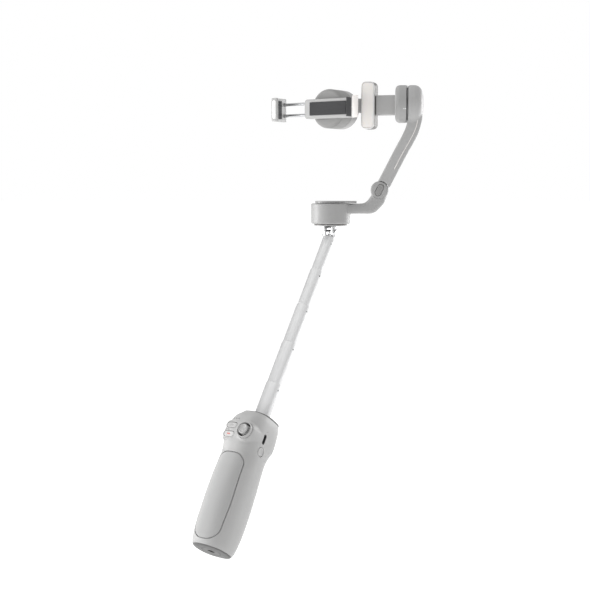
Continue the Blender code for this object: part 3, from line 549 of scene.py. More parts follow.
def handle_size(height):
    rows = HANDLE_SECTIONS
    spot = max(i for i, row in enumerate(rows) if row[0] <= max(height, 0.0))
    spot = min(spot, len(rows) - 2)
    share = min(max((height - rows[spot][0]) / (rows[spot + 1][0] - rows[spot][0]), 0.0), 1.0)
    four = [rows[max(min(spot + k, len(rows) - 1), 0)] for k in (-1, 0, 1, 2)]
    return [hermite(*(row[column] for row in four), share) for column in (1, 2, 3, 4)]


def smooth(value, low, high):
    share = min(max((value - low) / (high - low), 0.0), 1.0)
    return share * share * (3 - 2 * share)


def front_of(height, across):
    half_width, half_depth, shift, squareness = handle_size(height)
    share = max(0.0, 1.0 - abs(across / half_width) ** squareness)
    return shift + half_depth * share ** (1 / squareness)


def raised(x, y, z):
    """Lift the front of the shell into the stick's pedestal and the pad that frames the two buttons."""
    if y > 0:
        return y
    away = math.hypot(x - STICK[0], z - STICK[1])
    pedestal = 1 - smooth(away, 0.0081, 0.0103)
    dx = max(abs(x - BUTTONS_X) - 0.0052, 0.0)
    dz = max(abs(z - (MODE_Z + RECORD_Z) / 2) - 0.007, 0.0)
    frame_pad = 1 - smooth(math.hypot(dx, dz), 0.0012, 0.0036)
    out = y
    if frame_pad > 0:
        out = min(out, out + (-0.0257 - out) * frame_pad)
    if pedestal > 0:
        out = min(out, out + (-0.0272 - out) * pedestal)
    return out


def handle_ring(height, inset=0.0, steps=144, shaped=True):
    half_width, half_depth, shift, squareness = handle_size(height)
    line = []
    for i in range(steps):
        turn = 2 * math.pi * (i + 0.5) / steps
        x = (half_width - inset) * math.copysign(abs(math.cos(turn)) ** (2 / squareness), math.cos(turn))
        y = -(shift + (half_depth - inset) * math.copysign(abs(math.sin(turn)) ** (2 / squareness), math.sin(turn)))
        line.append((x, raised(x, y, height) if shaped else y, height))
    return line


def skinned(rings, inner=None):
    def build(work):
        skins = []
        for stack in [rings] + ([inner] if inner else []):
            skin = [[work.verts.new(p) for p in line] for line in stack]
            for low, high in zip(skin, skin[1:]):
                walled(work, low, high)
            skins.append(skin)
        for end in (0, -1):
            if inner:
                walled(work, skins[0][end], skins[1][end])
            else:
                work.faces.new(skins[0][end])

    return mesh_of(build)


def steps_between(low, high, size):
    count = max(1, round((high - low) / size))
    return [low + (high - low) * i / count for i in range(count)]


PAD_CORNERS = (
    (0.014, 0.0865, 0.0095),
    (-0.014, 0.0865, 0.0095),
    (-0.0145, 0.04, 0.0),
    (-0.013, 0.006, 0.0118),
    (0.013, 0.006, 0.0118),
    (0.0145, 0.04, 0.0),
)


def rounded(corners, arc_steps=8):
    outline = []
    count = len(corners)
    for i, (x, y, radius) in enumerate(corners):
        here = Vector((x, y))
        before = Vector(corners[i - 1][:2]) - here
        after = Vector(corners[(i + 1) % count][:2]) - here
        if radius <= 0:
            outline.append(here)
            continue
        half = before.angle(after) / 2
        reach = radius / math.tan(half)
        first = here + before.normalized() * reach
        last = here + after.normalized() * reach
        middle = here + (before.normalized() + after.normalized()).normalized() * (radius / math.sin(half))
        sweep = (first - middle).angle_signed(last - middle)
        for step in range(arc_steps + 1):
            cos, sin = math.cos(-sweep * step / arc_steps), math.sin(-sweep * step / arc_steps)
            arm = first - middle
            outline.append(middle + Vector((arm.x * cos - arm.y * sin, arm.x * sin + arm.y * cos)))
    return outline


def even(outline, size):
    """Points spread evenly, about size apart, along a closed outline."""
    line = [Vector(p) for p in outline] + [Vector(outline[0])]
    lengths = [(b - a).length for a, b in zip(line, line[1:])]
    total = sum(lengths)
    count = round(total / size)
    out, spot, passed = [], 0, 0.0
    for k in range(count):
        want = total * k / count
        while passed + lengths[spot] < want:
            passed += lengths[spot]
            spot += 1
        out.append(line[spot].lerp(line[spot + 1], (want - passed) / lengths[spot]))
    return out


def grown(outline, amount):
    """The outline moved outward."""
    line = [Vector(p) for p in outline]
    count = len(line)
    area = sum(line[i - 1].cross(line[i]) for i in range(count))
    side = 1 if area > 0 else -1
    out = []
    for i in range(count):
        along = (line[(i + 1) % count] - line[i - 1]).normalized()
        out.append(line[i] + Vector((along.y, -along.x)) * amount * side)
    return out


def pad_outline():
    """The grip pad's outline on the handle's front, its long sides bowed a little."""
    out = []
    for p in even(rounded(PAD_CORNERS), 0.0012):
        bow = 0.0006 * math.sin(math.pi * min(max((p.y - 0.006) / 0.08, 0), 1))
        out.append(Vector((p.x + math.copysign(bow, p.x), p.y)))
    return out


def draped(outline, offsets):
    """A thin pad over the handle's front: (share of the outline, height over the surface) from edge to middle."""
    middle = Vector((0.0, 0.046))

    def build(work):
        rings = []
        for share, lift in offsets:
            ring = []
            for p in outline:
                q = middle + (p - middle) * share
                ring.append(work.verts.new((q.x, -(front_of(q.y, q.x) + lift), q.y)))
            rings.append(ring)
        for a, b in zip(rings, rings[1:]):
            walled(work, a, b)
        work.faces.new(rings[0])
        centre = work.verts.new((0, -(front_of(middle.y, 0) + offsets[-1][1]), middle.y))
        last = rings[-1]
        for i in range(len(last)):
            work.faces.new((last[i], last[(i + 1) % len(last)], centre))

    return mesh_of(build)


def crown_outline(slack=0.0):
    """The top plate's outline: behind a thin lip at the front left, and flush with the shell at the right."""
    return [(x + 0.0004, y + 0.0003) for x, y, _ in handle_ring(HANDLE_TOP - 0.0012, 0.0003 - slack, 96, False)]


def make_handle():
    heights = [0.0011, 0.0013, 0.002, 0.003]
    heights += steps_between(0.004, 0.094, 0.0025)
    heights += steps_between(0.094, 0.122, 0.0007)
    heights += steps_between(0.122, HANDLE_TOP - 0.001, 0.0012)
    rings = [handle_ring(z) for z in heights]
    # the top rim is rolled over a little
    for drop, pull in ((0.0007, 0.00005), (0.0004, 0.0002), (0.00015, 0.00045), (0.0, 0.0008)):
        rings.append([(x, y, HANDLE_TOP - drop) for x, y, _ in handle_ring(HANDLE_TOP - drop, pull)])
    inner = [handle_ring(z, WALL, shaped=False) for z in steps_between(0.0011, HANDLE_TOP, 0.006) + [HANDLE_TOP]]
    outline = pad_outline()
    pad_heights = steps_between(0.001, 0.101, 0.0025)
    skin = skinned(
        [handle_ring(z, -0.004, shaped=False) for z in pad_heights],
        [handle_ring(z, 0.0013, shaped=False) for z in pad_heights],
    )
    window = slab(grown(outline, 0.0008), 0.04)
    recess = combined(skin, Matrix.Identity(4), ("INTERSECT", window, at(0, -0.022, 0) @ FORWARD))
    cutters = [(CUT, recess, HANDLE)]

    def hole(mesh, where):
        cutters.append((CUT, mesh, HANDLE @ where))

    hole(slab(crown_outline(0.0001), 0.004), at(0, 0, HANDLE_TOP + 0.0004))
    hole(disc(0.0077, 0.02), at(STICK[0], -PANEL_FRONT, STICK[1]) @ FORWARD)
    for z in (MODE_Z, RECORD_Z):
        hole(slab(pill(0.0118, 0.0062, 0.003), 0.02), at(BUTTONS_X, -PANEL_FRONT, z) @ FORWARD)
    for i in range(4):
        hole(disc(0.0006, 0.02, 16), at(-0.013 + 0.003 * i, -0.0235, 0.1186) @ FORWARD)
    hole(slab(pill(0.0098, 0.0042, 0.002), 0.02), at(0.019, -0.0085, 0.108) @ ALONG_X)
    hole(disc(0.0046, 0.02), at(0.019, -0.0075, 0.096) @ ALONG_X)
    hole(disc(0.0005, 0.004, 16), at(0.019, -0.007, 0.1158) @ ALONG_X)
    hole(slab(pill(0.0078, 0.019, 0.0014), 0.02), at(-0.019, -0.004, 0.106) @ QUARTER @ FORWARD)
    hole(slab(pill(0.0146, 0.0206, 0.0016), 0.02), at(0, 0.021, 0.105) @ FORWARD)
    shell = combined(skinned(rings, inner), HANDLE, *cutters)
    place("grip_housing", shell, HANDLE, SHELL, "handle", ["handle_shell"], sharp=30)

    pad = draped(
        outline,
        [(0.9995, -0.001), (1.0, -0.00035), (0.9975, -0.00005), (0.99, 0.00012), (0.975, 0.0002)]
        + [(s, 0.0002 + 0.00035 * (1 - s)) for s in (0.94, 0.88, 0.8, 0.7, 0.58, 0.45, 0.3, 0.15)],
    )
    place("grip_cover", pad, HANDLE, GRIP, "handle", ["grip_pad"], "soft_grip")


def make_handle_ends():
    mouth = spun(softened([(0, 0.01), (0.0082, 0.01), (0.0082, -0.01), (0, -0.01)], 0.0001, 1), 72)
    where = HANDLE @ at(0, 0, HANDLE_TOP - 0.0008)
    top = combined(slab(crown_outline(), 0.0014, 0.0002, 2), where, (CUT, mouth, HANDLE @ at(0, 0, HANDLE_TOP)))
    place("crown_plate", top, where, CAP_GREY, "handle", ["handle_top_plate"], MID)
    bush = hoop(0.009, 0.00835, 0, 0.0007, 0.0002, 96)
    place("rod_mouth_bush", bush, HANDLE @ at(0, 0, HANDLE_TOP - 0.0003), DARK, "handle", slot=DEEP)

    rolled = ((0.0, 0.0004), (0.00015, 0.0001), (0.0004, 0.0), (0.0009, 0.0))
    foot = skinned([handle_ring(z, pull) for z, pull in rolled])
    ring = [(x, y) for x, y, _ in handle_ring(0.0, WALL + GAP, 96, False)]
    base = combined(
        foot, HANDLE,
        (JOIN, slab(ring, 0.0025), HANDLE @ at(0, 0, 0.00175)),
        (CUT, disc(0.0034, 0.02), HANDLE),
        (CUT, disc(0.0053, 0.02), HANDLE @ at(0, 0, 0.011)),
        (CUT, hoop(0.0092, 0.0087, -0.001, 0.0003, 0.00005), HANDLE),
    )
    place("base_cap", base, HANDLE, CAP_GREY, "handle", ["bottom_cap"], MID)
    thread = [(0.005, 0.0092), (0.005, 0.0013), (0.0047, 0.0011), (0.0031, 0.001)]
    for i in range(6):
        low = 0.0012 + 0.00127 * i
        thread += [(0.0026, low), (0.0026, low + 0.0002), (0.0031, low + 0.0007)]
    thread += [(0.0026, 0.0092)]
    place("tripod_insert", spun(thread, 64, closed=True), HANDLE, INSERT, "handle", ["tripod_nut"], "brass")


def make_controls():
    stick = HANDLE @ at(STICK[0], -PANEL_FRONT - 0.0012, STICK[1]) @ FORWARD
    line = softened(
        [
            (0.0066, -0.006), (0.0066, 0.0018), (0.0068, 0.0027), (0.0071, 0.0029), (0.0074, 0.0024),
            (0.0075, 0.001), (0.0075, -0.006),
        ],
        0.0006, 3, closed=True,
    )
    place("stick_collar", spun(line, 96, closed=True), stick, SHELL, "handle", ["joystick_collar"])
    boot = softened([(0.0052, 0.0012), (0.005, 0.0022), (0.004, 0.003), (0.0024, 0.0038)], 0.0006, 4)
    boot = boot + [Vector((p.x - 0.0003, p.y - 0.0003)) for p in boot[::-1]]
    stick_pivot = HANDLE @ at(STICK[0], 0.0075 - PANEL_FRONT, STICK[1]) @ FORWARD
    boot = spun(boot, 72, closed=True)
    place("stick_boot", boot, stick_pivot @ at(0, 0, 0.0062), SHELL, "joystick_cap", slot=DEEP)
    cap = [
        (0.0, 0.0125), (0.0015, 0.0125), (0.002, 0.0128), (0.0025, 0.0128), (0.003, 0.0126), (0.0034, 0.0131),
        (0.0039, 0.0135), (0.0044, 0.0132), (0.0048, 0.0124), (0.0047, 0.0117), (0.0042, 0.0111), (0.0023, 0.0107),
        (0.002, 0.0097), (0.002, -0.001), (0.0, -0.001),
    ]
    cap = spun(softened(cap, 0.0005, 3), 96)
    place("stick_cap", cap, stick_pivot, SHELL, "joystick_cap", ["joystick_cap"], sharp=40)
    boss = spun(softened([(0.0, 0.0002), (0.0011, 0.0002), (0.0013, 0.0), (0.0, 0.0)], 0.0001, 2), 48)
    place("stick_cap_boss", boss, stick_pivot @ at(0, 0, 0.0125), SHELL, "joystick_cap")

    for name, body, z, skin, ink in (
        ("mode", "mode_button", MODE_Z, BUTTON, FAINT_INK), ("record", "record_button", RECORD_Z, GLOSS, RED_INK),
    ):
        where = HANDLE @ at(BUTTONS_X, -PANEL_FRONT, z) @ FORWARD
        sunk = where @ at(0, 0, -0.0006)
        opening = slab(pill(0.0116, 0.006, 0.0029, 10), 0.02)
        frame_ring = combined(slab(pill(0.0142, 0.0084, 0.0041, 10), 0.0014, 0.0005, 3), sunk, (CUT, opening, where))
        place(name + "_frame", frame_ring, sunk, BUTTON, "handle")
        key = slab(pill(0.011, 0.0054, 0.0026, 10), 0.0062, 0.0009, 4)
        bowl = [(DISH * math.sin(a), DISH - DISH * math.cos(a)) for a in (0.9, 0.5, 0.28, 0.2, 0.15, 0.1, 0.06, 0.03)]
        dish = spun([(0, 0.03), (DISH, 0.03), (DISH, 0.0)] + bowl + [(0, 0)], 96)
        sunk = where @ at(0, 0, -0.0027)
        key = combined(key, sunk, (CUT, dish, where @ at(0, 0, 0.00028)))
        place(name + "_key", key, sunk, skin, body, [body], PALE if name == "mode" else "red_button")
        mark = slab(pill(0.0036, 0.0012, 0.00059, 8), 0.00012)
        place(name + "_mark", mark, where @ at(-0.0004, 0, 0.00034), ink, body)

    where = HANDLE @ at(0.0172, -0.0075, 0.096) @ ALONG_X
    profile = [(0.0, 0.0017), (0.0026, 0.0019), (0.0035, 0.002), (0.0042, 0.0018), (0.0042, -0.002), (0.0, -0.002)]
    place("power_key", spun(softened(profile, 0.0004, 4), 72), where, SHELL, "power_button", ["power_button"])
    tongue = block((0.0007, 0.0062, 0.0046), 0.0001, 1)
    place("usb_tongue", tongue, HANDLE @ at(0.0148, -0.0085, 0.108) @ FORWARD, BLACK, "handle", slot=DEEP)

    rocker = [
        (-0.0048, 0.0088), (-0.0041, 0.004), (-0.0034, 0.0), (-0.0041, -0.004), (-0.0048, -0.0088),
        (-0.002, -0.0088), (0.0012, -0.0004), (0.0012, 0.0004), (-0.002, 0.0088),
    ]
    where = HANDLE @ at(-0.016, -0.004, 0.106) @ FORWARD
    shape = with_bevel(slab(softened(rocker, 0.0012, 5, closed=True), 0.007), 0.0008, 4, 40)
    place("zoom_paddle", shape, where, ACCENT, "zoom_rocker", ["zoom_rocker"], MID)
    lever = [
        (0.002, 0.0022), (-0.0018, 0.0022), (-0.0018, -0.002), (0.0004, -0.0095), (0.001, -0.016),
        (0.0056, -0.0168), (0.0066, -0.014), (0.0062, -0.009), (0.004, -0.003),
    ]
    where = HANDLE @ at(0, 0.0165, 0.1125) @ QUARTER @ FORWARD
    shape = with_bevel(slab(softened(lever, 0.0018, 6, closed=True), 0.0136), 0.0011, 4, 40)
    shape = combined(shape, where, (CUT, disc(0.0011, 0.03, 24), where))
    place("trigger_lever", shape, where, ACCENT, "trigger", ["trigger"], MID)


def make_rod():
    tops = SECTION_TOPS
    for i, (top, radius) in enumerate(zip(tops, SECTION_RADII)):
        below = HANDLE_TOP if i == 0 else tops[i - 1]
        low = below - 0.009
        throat = 0.0032 if i == 4 else SECTION_RADII[i + 1] + 0.00012
        inner = radius - 0.00034
        line = [
            (throat, top - 0.0001), (throat + 0.0002, top), (radius - 0.0007, top - 0.0002),
            (radius - 0.0001, top - 0.0012), (radius, top - 0.0022), (radius, low), (inner, low),
            (inner, top - 0.0018), (throat, top - 0.0008),
        ]
        tube = spun(softened(line, 0.0004, 3, closed=True), 96, closed=True)
        if i < 4:
            hole = disc(0.0009, 0.004, 20)
            tube = combined(tube, HANDLE, (CUT, hole, HANDLE @ at(radius, 0, top - 0.0062) @ ALONG_X))
            pin = [(0, 0.00015), (0.00076, 0.00013), (0.00076, -0.00013), (0, -0.00015)]
            where = HANDLE @ at(radius - 0.00017, 0, top - 0.0062) @ ALONG_X
            place(f"lock_pin_{i + 1}", spun(softened(pin, 0.00008, 3), 24), where, DARK, f"rod_{i + 1}", slot=DEEP)
        place(f"rod_tube_{i + 1}", tube, HANDLE, ROD, f"rod_{i + 1}", [f"rod_section_{i + 1}"], "polished_steel")

    where = HANDLE @ at(0, 0, NECK_PIVOT) @ ALONG_X
    tip = with_bevel(disc(0.0037, 0.006, 48), 0.0005, 3, 40)
    stem = disc(0.0029, 0.012, 40)
    tip = combined(
        tip, where,
        (JOIN, stem, HANDLE @ at(0, 0, NECK_PIVOT - 0.008)),
        (CUT, disc(0.0017, 0.03, 32), where),
    )
    place("rod_knuckle", tip, where, CHROME, "rod_5", ["rod_tip"], "polished_steel")
    for k, drop in enumerate((0.0042, 0.0078)):
        screw = [(0, 0.0002), (0.0005, 0.0002), (0.0007, 0.0001), (0.0007, -0.0002), (0, -0.0002)]
        where = HANDLE @ at(SECTION_RADII[4] - 0.00016, 0, SECTION_TOPS[4] - drop) @ ALONG_X
        place(f"rod_pip_{k + 1}", spun(softened(screw, 0.0001, 2), 24), where, DARK, "rod_5", slot=DEEP)


def make_neck():
    ear = [around(0.0046, a) for a in range(180, 361, 6)]
    ear += [(0.0046, 0.0072), (-0.0046, 0.0072)]
    across = QUARTER @ FORWARD
    for name, side in (("right", 1), ("left", -1)):
        where = HEAD @ at(0.0049 * side, 0, 0) @ across
        lug = with_bevel(slab(ear, 0.0032), 0.0005, 3, 40)
        lug = combined(lug, where, (CUT, disc(0.0017, 0.02, 32), where))
        place(f"neck_lug_{name}", lug, where, CHROME, "neck", ["neck_fork"] if side > 0 else (), "polished_steel")
    # The black block between the lugs stands for a black part there and is also painted shade for the shaded gap under
    # the pan base.
    bridge_and_gap_shade = block((0.0064, 0.0088, 0.0018), 0.0003, 2)
    place("neck_bridge_and_gap_shade", bridge_and_gap_shade, HEAD @ at(0, 0, 0.0063), BLACK, "neck", slot=DEEP)

    base = softened(
        [
            (0.004, 0.0078), (0.004, 0.0125), (0.006, 0.0125), (0.006, 0.0092), (0.016, 0.0092),
            (0.0165, 0.0088), (0.0165, 0.008), (0.0158, 0.0075), (0.0045, 0.0075),
        ],
        0.0003, 3, closed=True,
    )
    place("pan_base", spun(base, 96, closed=True), HEAD, SHELL_HEAD, "neck", ["pan_base_plate"])
    pin = [
        (0.0, 0.0082), (0.0012, 0.0082), (0.0016, 0.0078), (0.003, 0.0078), (0.0034, 0.0082), (0.0036, 0.0082),
        (0.0044, 0.0076), (0.0044, 0.0069), (0.0014, 0.0068), (0.0014, 0.0),
    ]
    pin = pin + [(r, -h) for r, h in pin[::-1][1:]]
    place("neck_pin", spun(softened(pin, 0.0003, 3), 72), HEAD @ ALONG_X, CHROME, "neck", ["hinge_pin"], "steel", 40)


# ---------------------------------------------------------------- arms


def hub_matrix(depth):
    return ARM @ at(HUB[0], depth, HUB[1]) @ FORWARD


def make_lower_arm():
    low, high = DRUM_LOW, DRUM_HIGH
    cavity = PAN_RADIUS - 0.002
    ceiling = high - 0.0022
    outline = rounded(
        (
            (0.01, 0.0196, 0.0), (0.0435, 0.0196, 0.0115), (0.0532, 0.0298, 0.0105),
            (0.0564, 0.0385, 0.0), (0.0535, 0.045, 0.0), (0.0445, 0.045, 0.0), (0.0412, 0.039, 0.0),
            (0.0352, 0.0297, 0.0095), (0.01, 0.0296, 0.0),
        ),
        10,
    )
    body = slab(outline, ARM_DEPTH - 0.0006, 0.0038, 5)
    drum = spun(softened([(0, high), (PAN_RADIUS, high), (PAN_RADIUS, low), (0, low)], 0.0012, 5), 120)
    lugs = spun(softened([(0, 0.0073), (HUB_RADIUS, 0.0073), (HUB_RADIUS, -0.0073), (0, -0.0073)], 0.0012, 5), 96)
    solid = combined(body, ARM @ FORWARD, (JOIN, drum, ARM), (JOIN, lugs, hub_matrix(0)))
    solid = melted(solid, 0.00055, 9)
    slot = rounded(
        (
            (0.0, -0.0092, 0.0), (0.014, -0.002, 0.0), (0.014, 0.016, 0.0), (-0.016, 0.016, 0.0),
            (-0.016, 0.0, 0.0),
        )
    )
    groove = [
        around(HUB_RADIUS, a) for a in range(150, 331, 6)
    ]
    groove += [(x * 0.955, y * 0.955) for x, y in groove[::-1]]
    solid = combined(
        solid, ARM @ FORWARD,
        (CUT, spun([(0, ceiling), (cavity, ceiling), (cavity, low - 0.002), (0, low - 0.002)], 96), ARM),
        (CUT, disc(HUB_RADIUS + 0.0004, 2 * KNUCKLE_HALF + 2 * GAP, 72), hub_matrix(0)),
        (CUT, slab(slot, 2 * KNUCKLE_HALF + 2.1 * GAP), hub_matrix(0)),
        (CUT, disc(0.0021, 0.0116, 32), hub_matrix(0.0011)),
        (CUT, slab(pill(0.0126, 0.0066, 0.0032, 10), 0.006), hub_matrix(-0.0076) @ RISE),
        (CUT, slab(groove, 0.0012), hub_matrix(-0.0074)),
        (CUT, slab(groove, 0.0012), hub_matrix(0.0074)),
    )
    shaft = disc(0.0024, ceiling + 0.001 - 0.0098, 32)
    solid = combined(solid, ARM @ FORWARD, (JOIN, shaft, ARM @ at(0, 0, (ceiling + 0.0108) / 2)))
    place("pan_arm", solid, ARM @ FORWARD, SHELL_HEAD, "pan", ["lower_arm"], sharp=28)

    big, small, reach = 0.0155, 0.0062, 0.02
    tilt = math.degrees(math.acos((big - small) / reach))
    line = [around(big, tilt + (360 - 2 * tilt) * i / 60) for i in range(61)]
    tongue = [around(small, -tilt + 2 * tilt * i / 16) for i in range(17)]
    line += [(reach + x, y) for x, y in tongue]
    cover = slab(line, COVER_HIGH - high - GAP, 0.0006, 4)
    place("pan_cover", cover, ARM @ at(0, 0, (COVER_HIGH + high + GAP) / 2), SHELL_HEAD, "pan", ["pan_top_cover"])

    where = hub_matrix(-0.0064) @ RISE
    key = slab(pill(0.012, 0.006, 0.00295, 12), 0.002, 0.0006, 4)
    place("fold_key", key, where, ACCENT, "fold_lock", ["fold_lock_button"], MID)


UPPER_OUTER = (
    (0.059, 0.046), (0.074, 0.076), (0.085, 0.095), (0.0892, 0.1065), (0.0908, 0.118), (0.091, 0.13),
)


def band(edge, left, right):
    line = [Vector(point) for point in edge]
    normals = []
    for i in range(len(line)):
        along = (line[min(i + 1, len(line) - 1)] - line[max(i - 1, 0)]).normalized()
        normals.append(Vector((-along.y, along.x)))
    outer = [point + normal * left for point, normal in zip(line, normals)]
    inner = [point - normal * right for point, normal in zip(line, normals)]
    return outer + inner[::-1]


def eased(points, rounds=3):
    """A smoother line through the same places, its ends kept (corner cutting)."""
    line = [Vector(p) for p in points]
    for _ in range(rounds):
        out = [line[0]]
        for a, b in zip(line, line[1:]):
            out += [a.lerp(b, 0.25), a.lerp(b, 0.75)]
        line = out + [line[-1]]
    return line


def make_upper_arm():
    inner_edge = [(0.0762, 0.118), (0.0755, 0.108), (0.0712, 0.0975), (0.0632, 0.0832), (0.0486, 0.0545)]
    outer = eased(UPPER_OUTER)
    inner = eased([(0.08, 0.13)] + inner_edge)
    outline = outer + inner + [Vector((0.046, 0.05)), Vector((0.052, 0.043))]
    body = slab(outline, ARM_DEPTH, 0.0046, 6)
    dome = [
        (0, 0.0912), (0.009, 0.0907), (0.014, 0.0893), (0.017, 0.0868), (TILT_RADIUS, 0.0835),
        (TILT_RADIUS, TILT_SEAM), (0, TILT_SEAM),
    ]
    drum = spun(softened(dome, 0.003, 6), 120)
    solid = combined(body, ARM @ FORWARD, (JOIN, drum, TILT @ ALONG_X))
    solid = melted(solid, 0.00055, 9)
    knuckle = disc(HUB_RADIUS - 0.0002, 2 * KNUCKLE_HALF, 72)
    root = slab([(0.0, -0.004), (0.009, -0.004), (0.012, 0.004), (0.0, 0.004)], 2 * KNUCKLE_HALF)
    crown = [(0.0912, 0.123), (0.0912, 0.132), (0.0907, 0.1364), (0.0893, 0.1414)]
    edge = eased([(0.066, 0.06)] + list(UPPER_OUTER[1:5]) + crown)
    solid = combined(
        solid, ARM @ FORWARD,
        (CUT, disc(HUB_RADIUS + GAP, 0.02, 72), hub_matrix(0)),
        (CUT, disc(0.0162, 0.0204, 72), TILT @ ALONG_X @ at(0, 0, 0.0858 - 0.0102)),
        (JOIN, knuckle, hub_matrix(0)),
        (JOIN, root, hub_matrix(0) @ RISE),
        (CUT, disc(0.0021, 0.03, 32), hub_matrix(0)),
        (CUT, slab(band(edge, 0.0022, 0.003), 0.0086), ARM @ FORWARD),
    )
    place("lift_arm", solid, ARM @ FORWARD, SHELL_ARM_SHEEN, "upper_arm", ["upper_arm"], sharp=28)
    strip_edge = eased([(0.0668, 0.0616), *UPPER_OUTER[1:5], (0.0912, 0.123), (0.0912, 0.132), (0.0907, 0.1362)])
    strip = with_bevel(slab(band(strip_edge, 0.0018, -0.0001), 0.008), 0.0008, 4, 40)
    # A dark ring inside the seam between the cap and the drum: painted shade for the shade in the narrow gap.
    seam_shade = hoop(0.0181, 0.0165, 0.0746, 0.0753, 0.0001, 96)
    place("tilt_seam_shade_ring", seam_shade, TILT @ ALONG_X, DARK, "upper_arm", slot=DEEP)
    place("arm_strip", strip, ARM @ FORWARD, SHELL_ARM_SHEEN, "upper_arm", ["outer_strip"])
    # Raised ribs along the strip's edges in pale cream: real ribs, their pale colour painted highlight for the white
    # lines along the arm's edges.
    for k, (inset, depth) in enumerate(((0.0022, 0.0067), (0.0041, 0.0073))):
        inner_side = band(strip_edge, inset, 0.0)[: len(strip_edge)]
        for side, name in ((1, "front"), (-1, "back")):
            highlight_rib = drawn([(p.x, p.y, side * depth) for p in inner_side], 0.0005, 12)
            place(f"arm_highlight_rib_{name}_{k + 1}", highlight_rib, ARM @ FORWARD, CREAM, "upper_arm")


def make_tilt_group():
    cap = [
        (0.0, CAP_FLOOR), (0.0162, CAP_FLOOR), (0.0162, 0.0744), (0.018, 0.0744), (TILT_RADIUS, 0.074),
        (TILT_RADIUS, CAP_FACE + 0.0039), (0.0175, CAP_FACE + 0.0016), (0.0158, CAP_FACE + 0.0004), (0.014, CAP_FACE),
        (0.0, CAP_FACE),
    ]
    shaft = disc(0.0024, 0.0845 - CAP_FACE - 0.001, 32)
    where = TILT @ ALONG_X @ at(0, 0, (0.0845 + CAP_FACE + 0.001) / 2)
    solid = combined(spun(softened(cap, 0.0012, 5), 120), TILT @ ALONG_X, (JOIN, shaft, where))
    place("tilt_drum_cap", solid, TILT @ ALONG_X, SHELL_HEAD, "tilt", ["tilt_cap"])
    for k, along in enumerate((0.072, 0.0736)):
        dot = disc(0.0005, 0.0003, 16)
        where = TILT @ at(along, 0, 0) @ Matrix.Rotation(0.31, 4, "X") @ at(0, -TILT_RADIUS, 0) @ FORWARD
        place(f"index_dot_{k + 1}", dot, where, WHITE_INK, "tilt", slot="white_diffuser")

    plate = [(0, 0.02), (0.0178, 0.02), (ROLL_RADIUS, 0.0186), (ROLL_RADIUS, 0.0096), (0, 0.0096)]
    beam = block((0.0245, 0.01, 0.0196), 0.0018, 5)
    solid = combined(
        beam, BAR @ at(0.0487, 0, 0),
        (JOIN, disc(0.003, 0.03, 40), BAR @ at(0.029, 0, 0) @ ALONG_X),
        (JOIN, block((0.0085, 0.0076, 0.014), 0.001, 3), BAR @ at(0.0183, 0, 0)),
        (JOIN, spun(softened(plate, 0.0008, 5), 120), ROLL @ BACKWARD),
        (CUT, disc(TILT_RADIUS + 0.001, 0.03, 96), TILT @ ALONG_X @ at(0, 0, CAP_FACE - GAP + 0.015)),
        (CUT, disc(0.017, 0.0204, 96), ROLL @ BACKWARD @ at(0, 0, 0.018 - 0.0102)),
    )
    place("cross_beam", solid, BAR @ at(0.0487, 0, 0), ACCENT_HEAD, "tilt", ["crossbar"], MID)


def make_light():
    width, depth, height, bezel = 0.0134, 0.018, 0.0464, 0.0026
    front = -depth / 2
    where = LIGHT @ at(0, (bezel + GAP) / 2, 0) @ FORWARD
    shape = slab(pill(width, height, 0.0046, 8), depth - bezel - GAP, 0.0022, 5)
    shape = combined(
        shape, where,
        (CUT, disc(0.0033, 0.02, 40), LIGHT @ ALONG_X),
        (CUT, block((0.0096, 0.04, 0.0014)), LIGHT @ at(0, front + bezel + 0.0007, 0) @ FORWARD),
    )
    place("lamp_back", shape, where, LIGHT_BACK, "light", ["light_body"], MID)
    where = LIGHT @ at(0, front + bezel / 2, 0) @ FORWARD
    rim = slab(pill(width, height, 0.0046, 8), bezel, 0.001, 4)
    rim = combined(rim, where, (CUT, slab(pill(0.0116, 0.0446, 0.0038, 8), 0.02), where))
    place("lamp_rim", rim, where, BEZEL_WHITE, "light", ["light_bezel"], "white_diffuser")
    where = LIGHT @ at(0, front + 0.0013, 0) @ FORWARD
    window = slab(pill(0.0112, 0.0442, 0.0036, 8), 0.0022, 0.0005, 3)
    place("lamp_window", window, where, PANEL, "light", ["light_diffuser"], "white_diffuser")


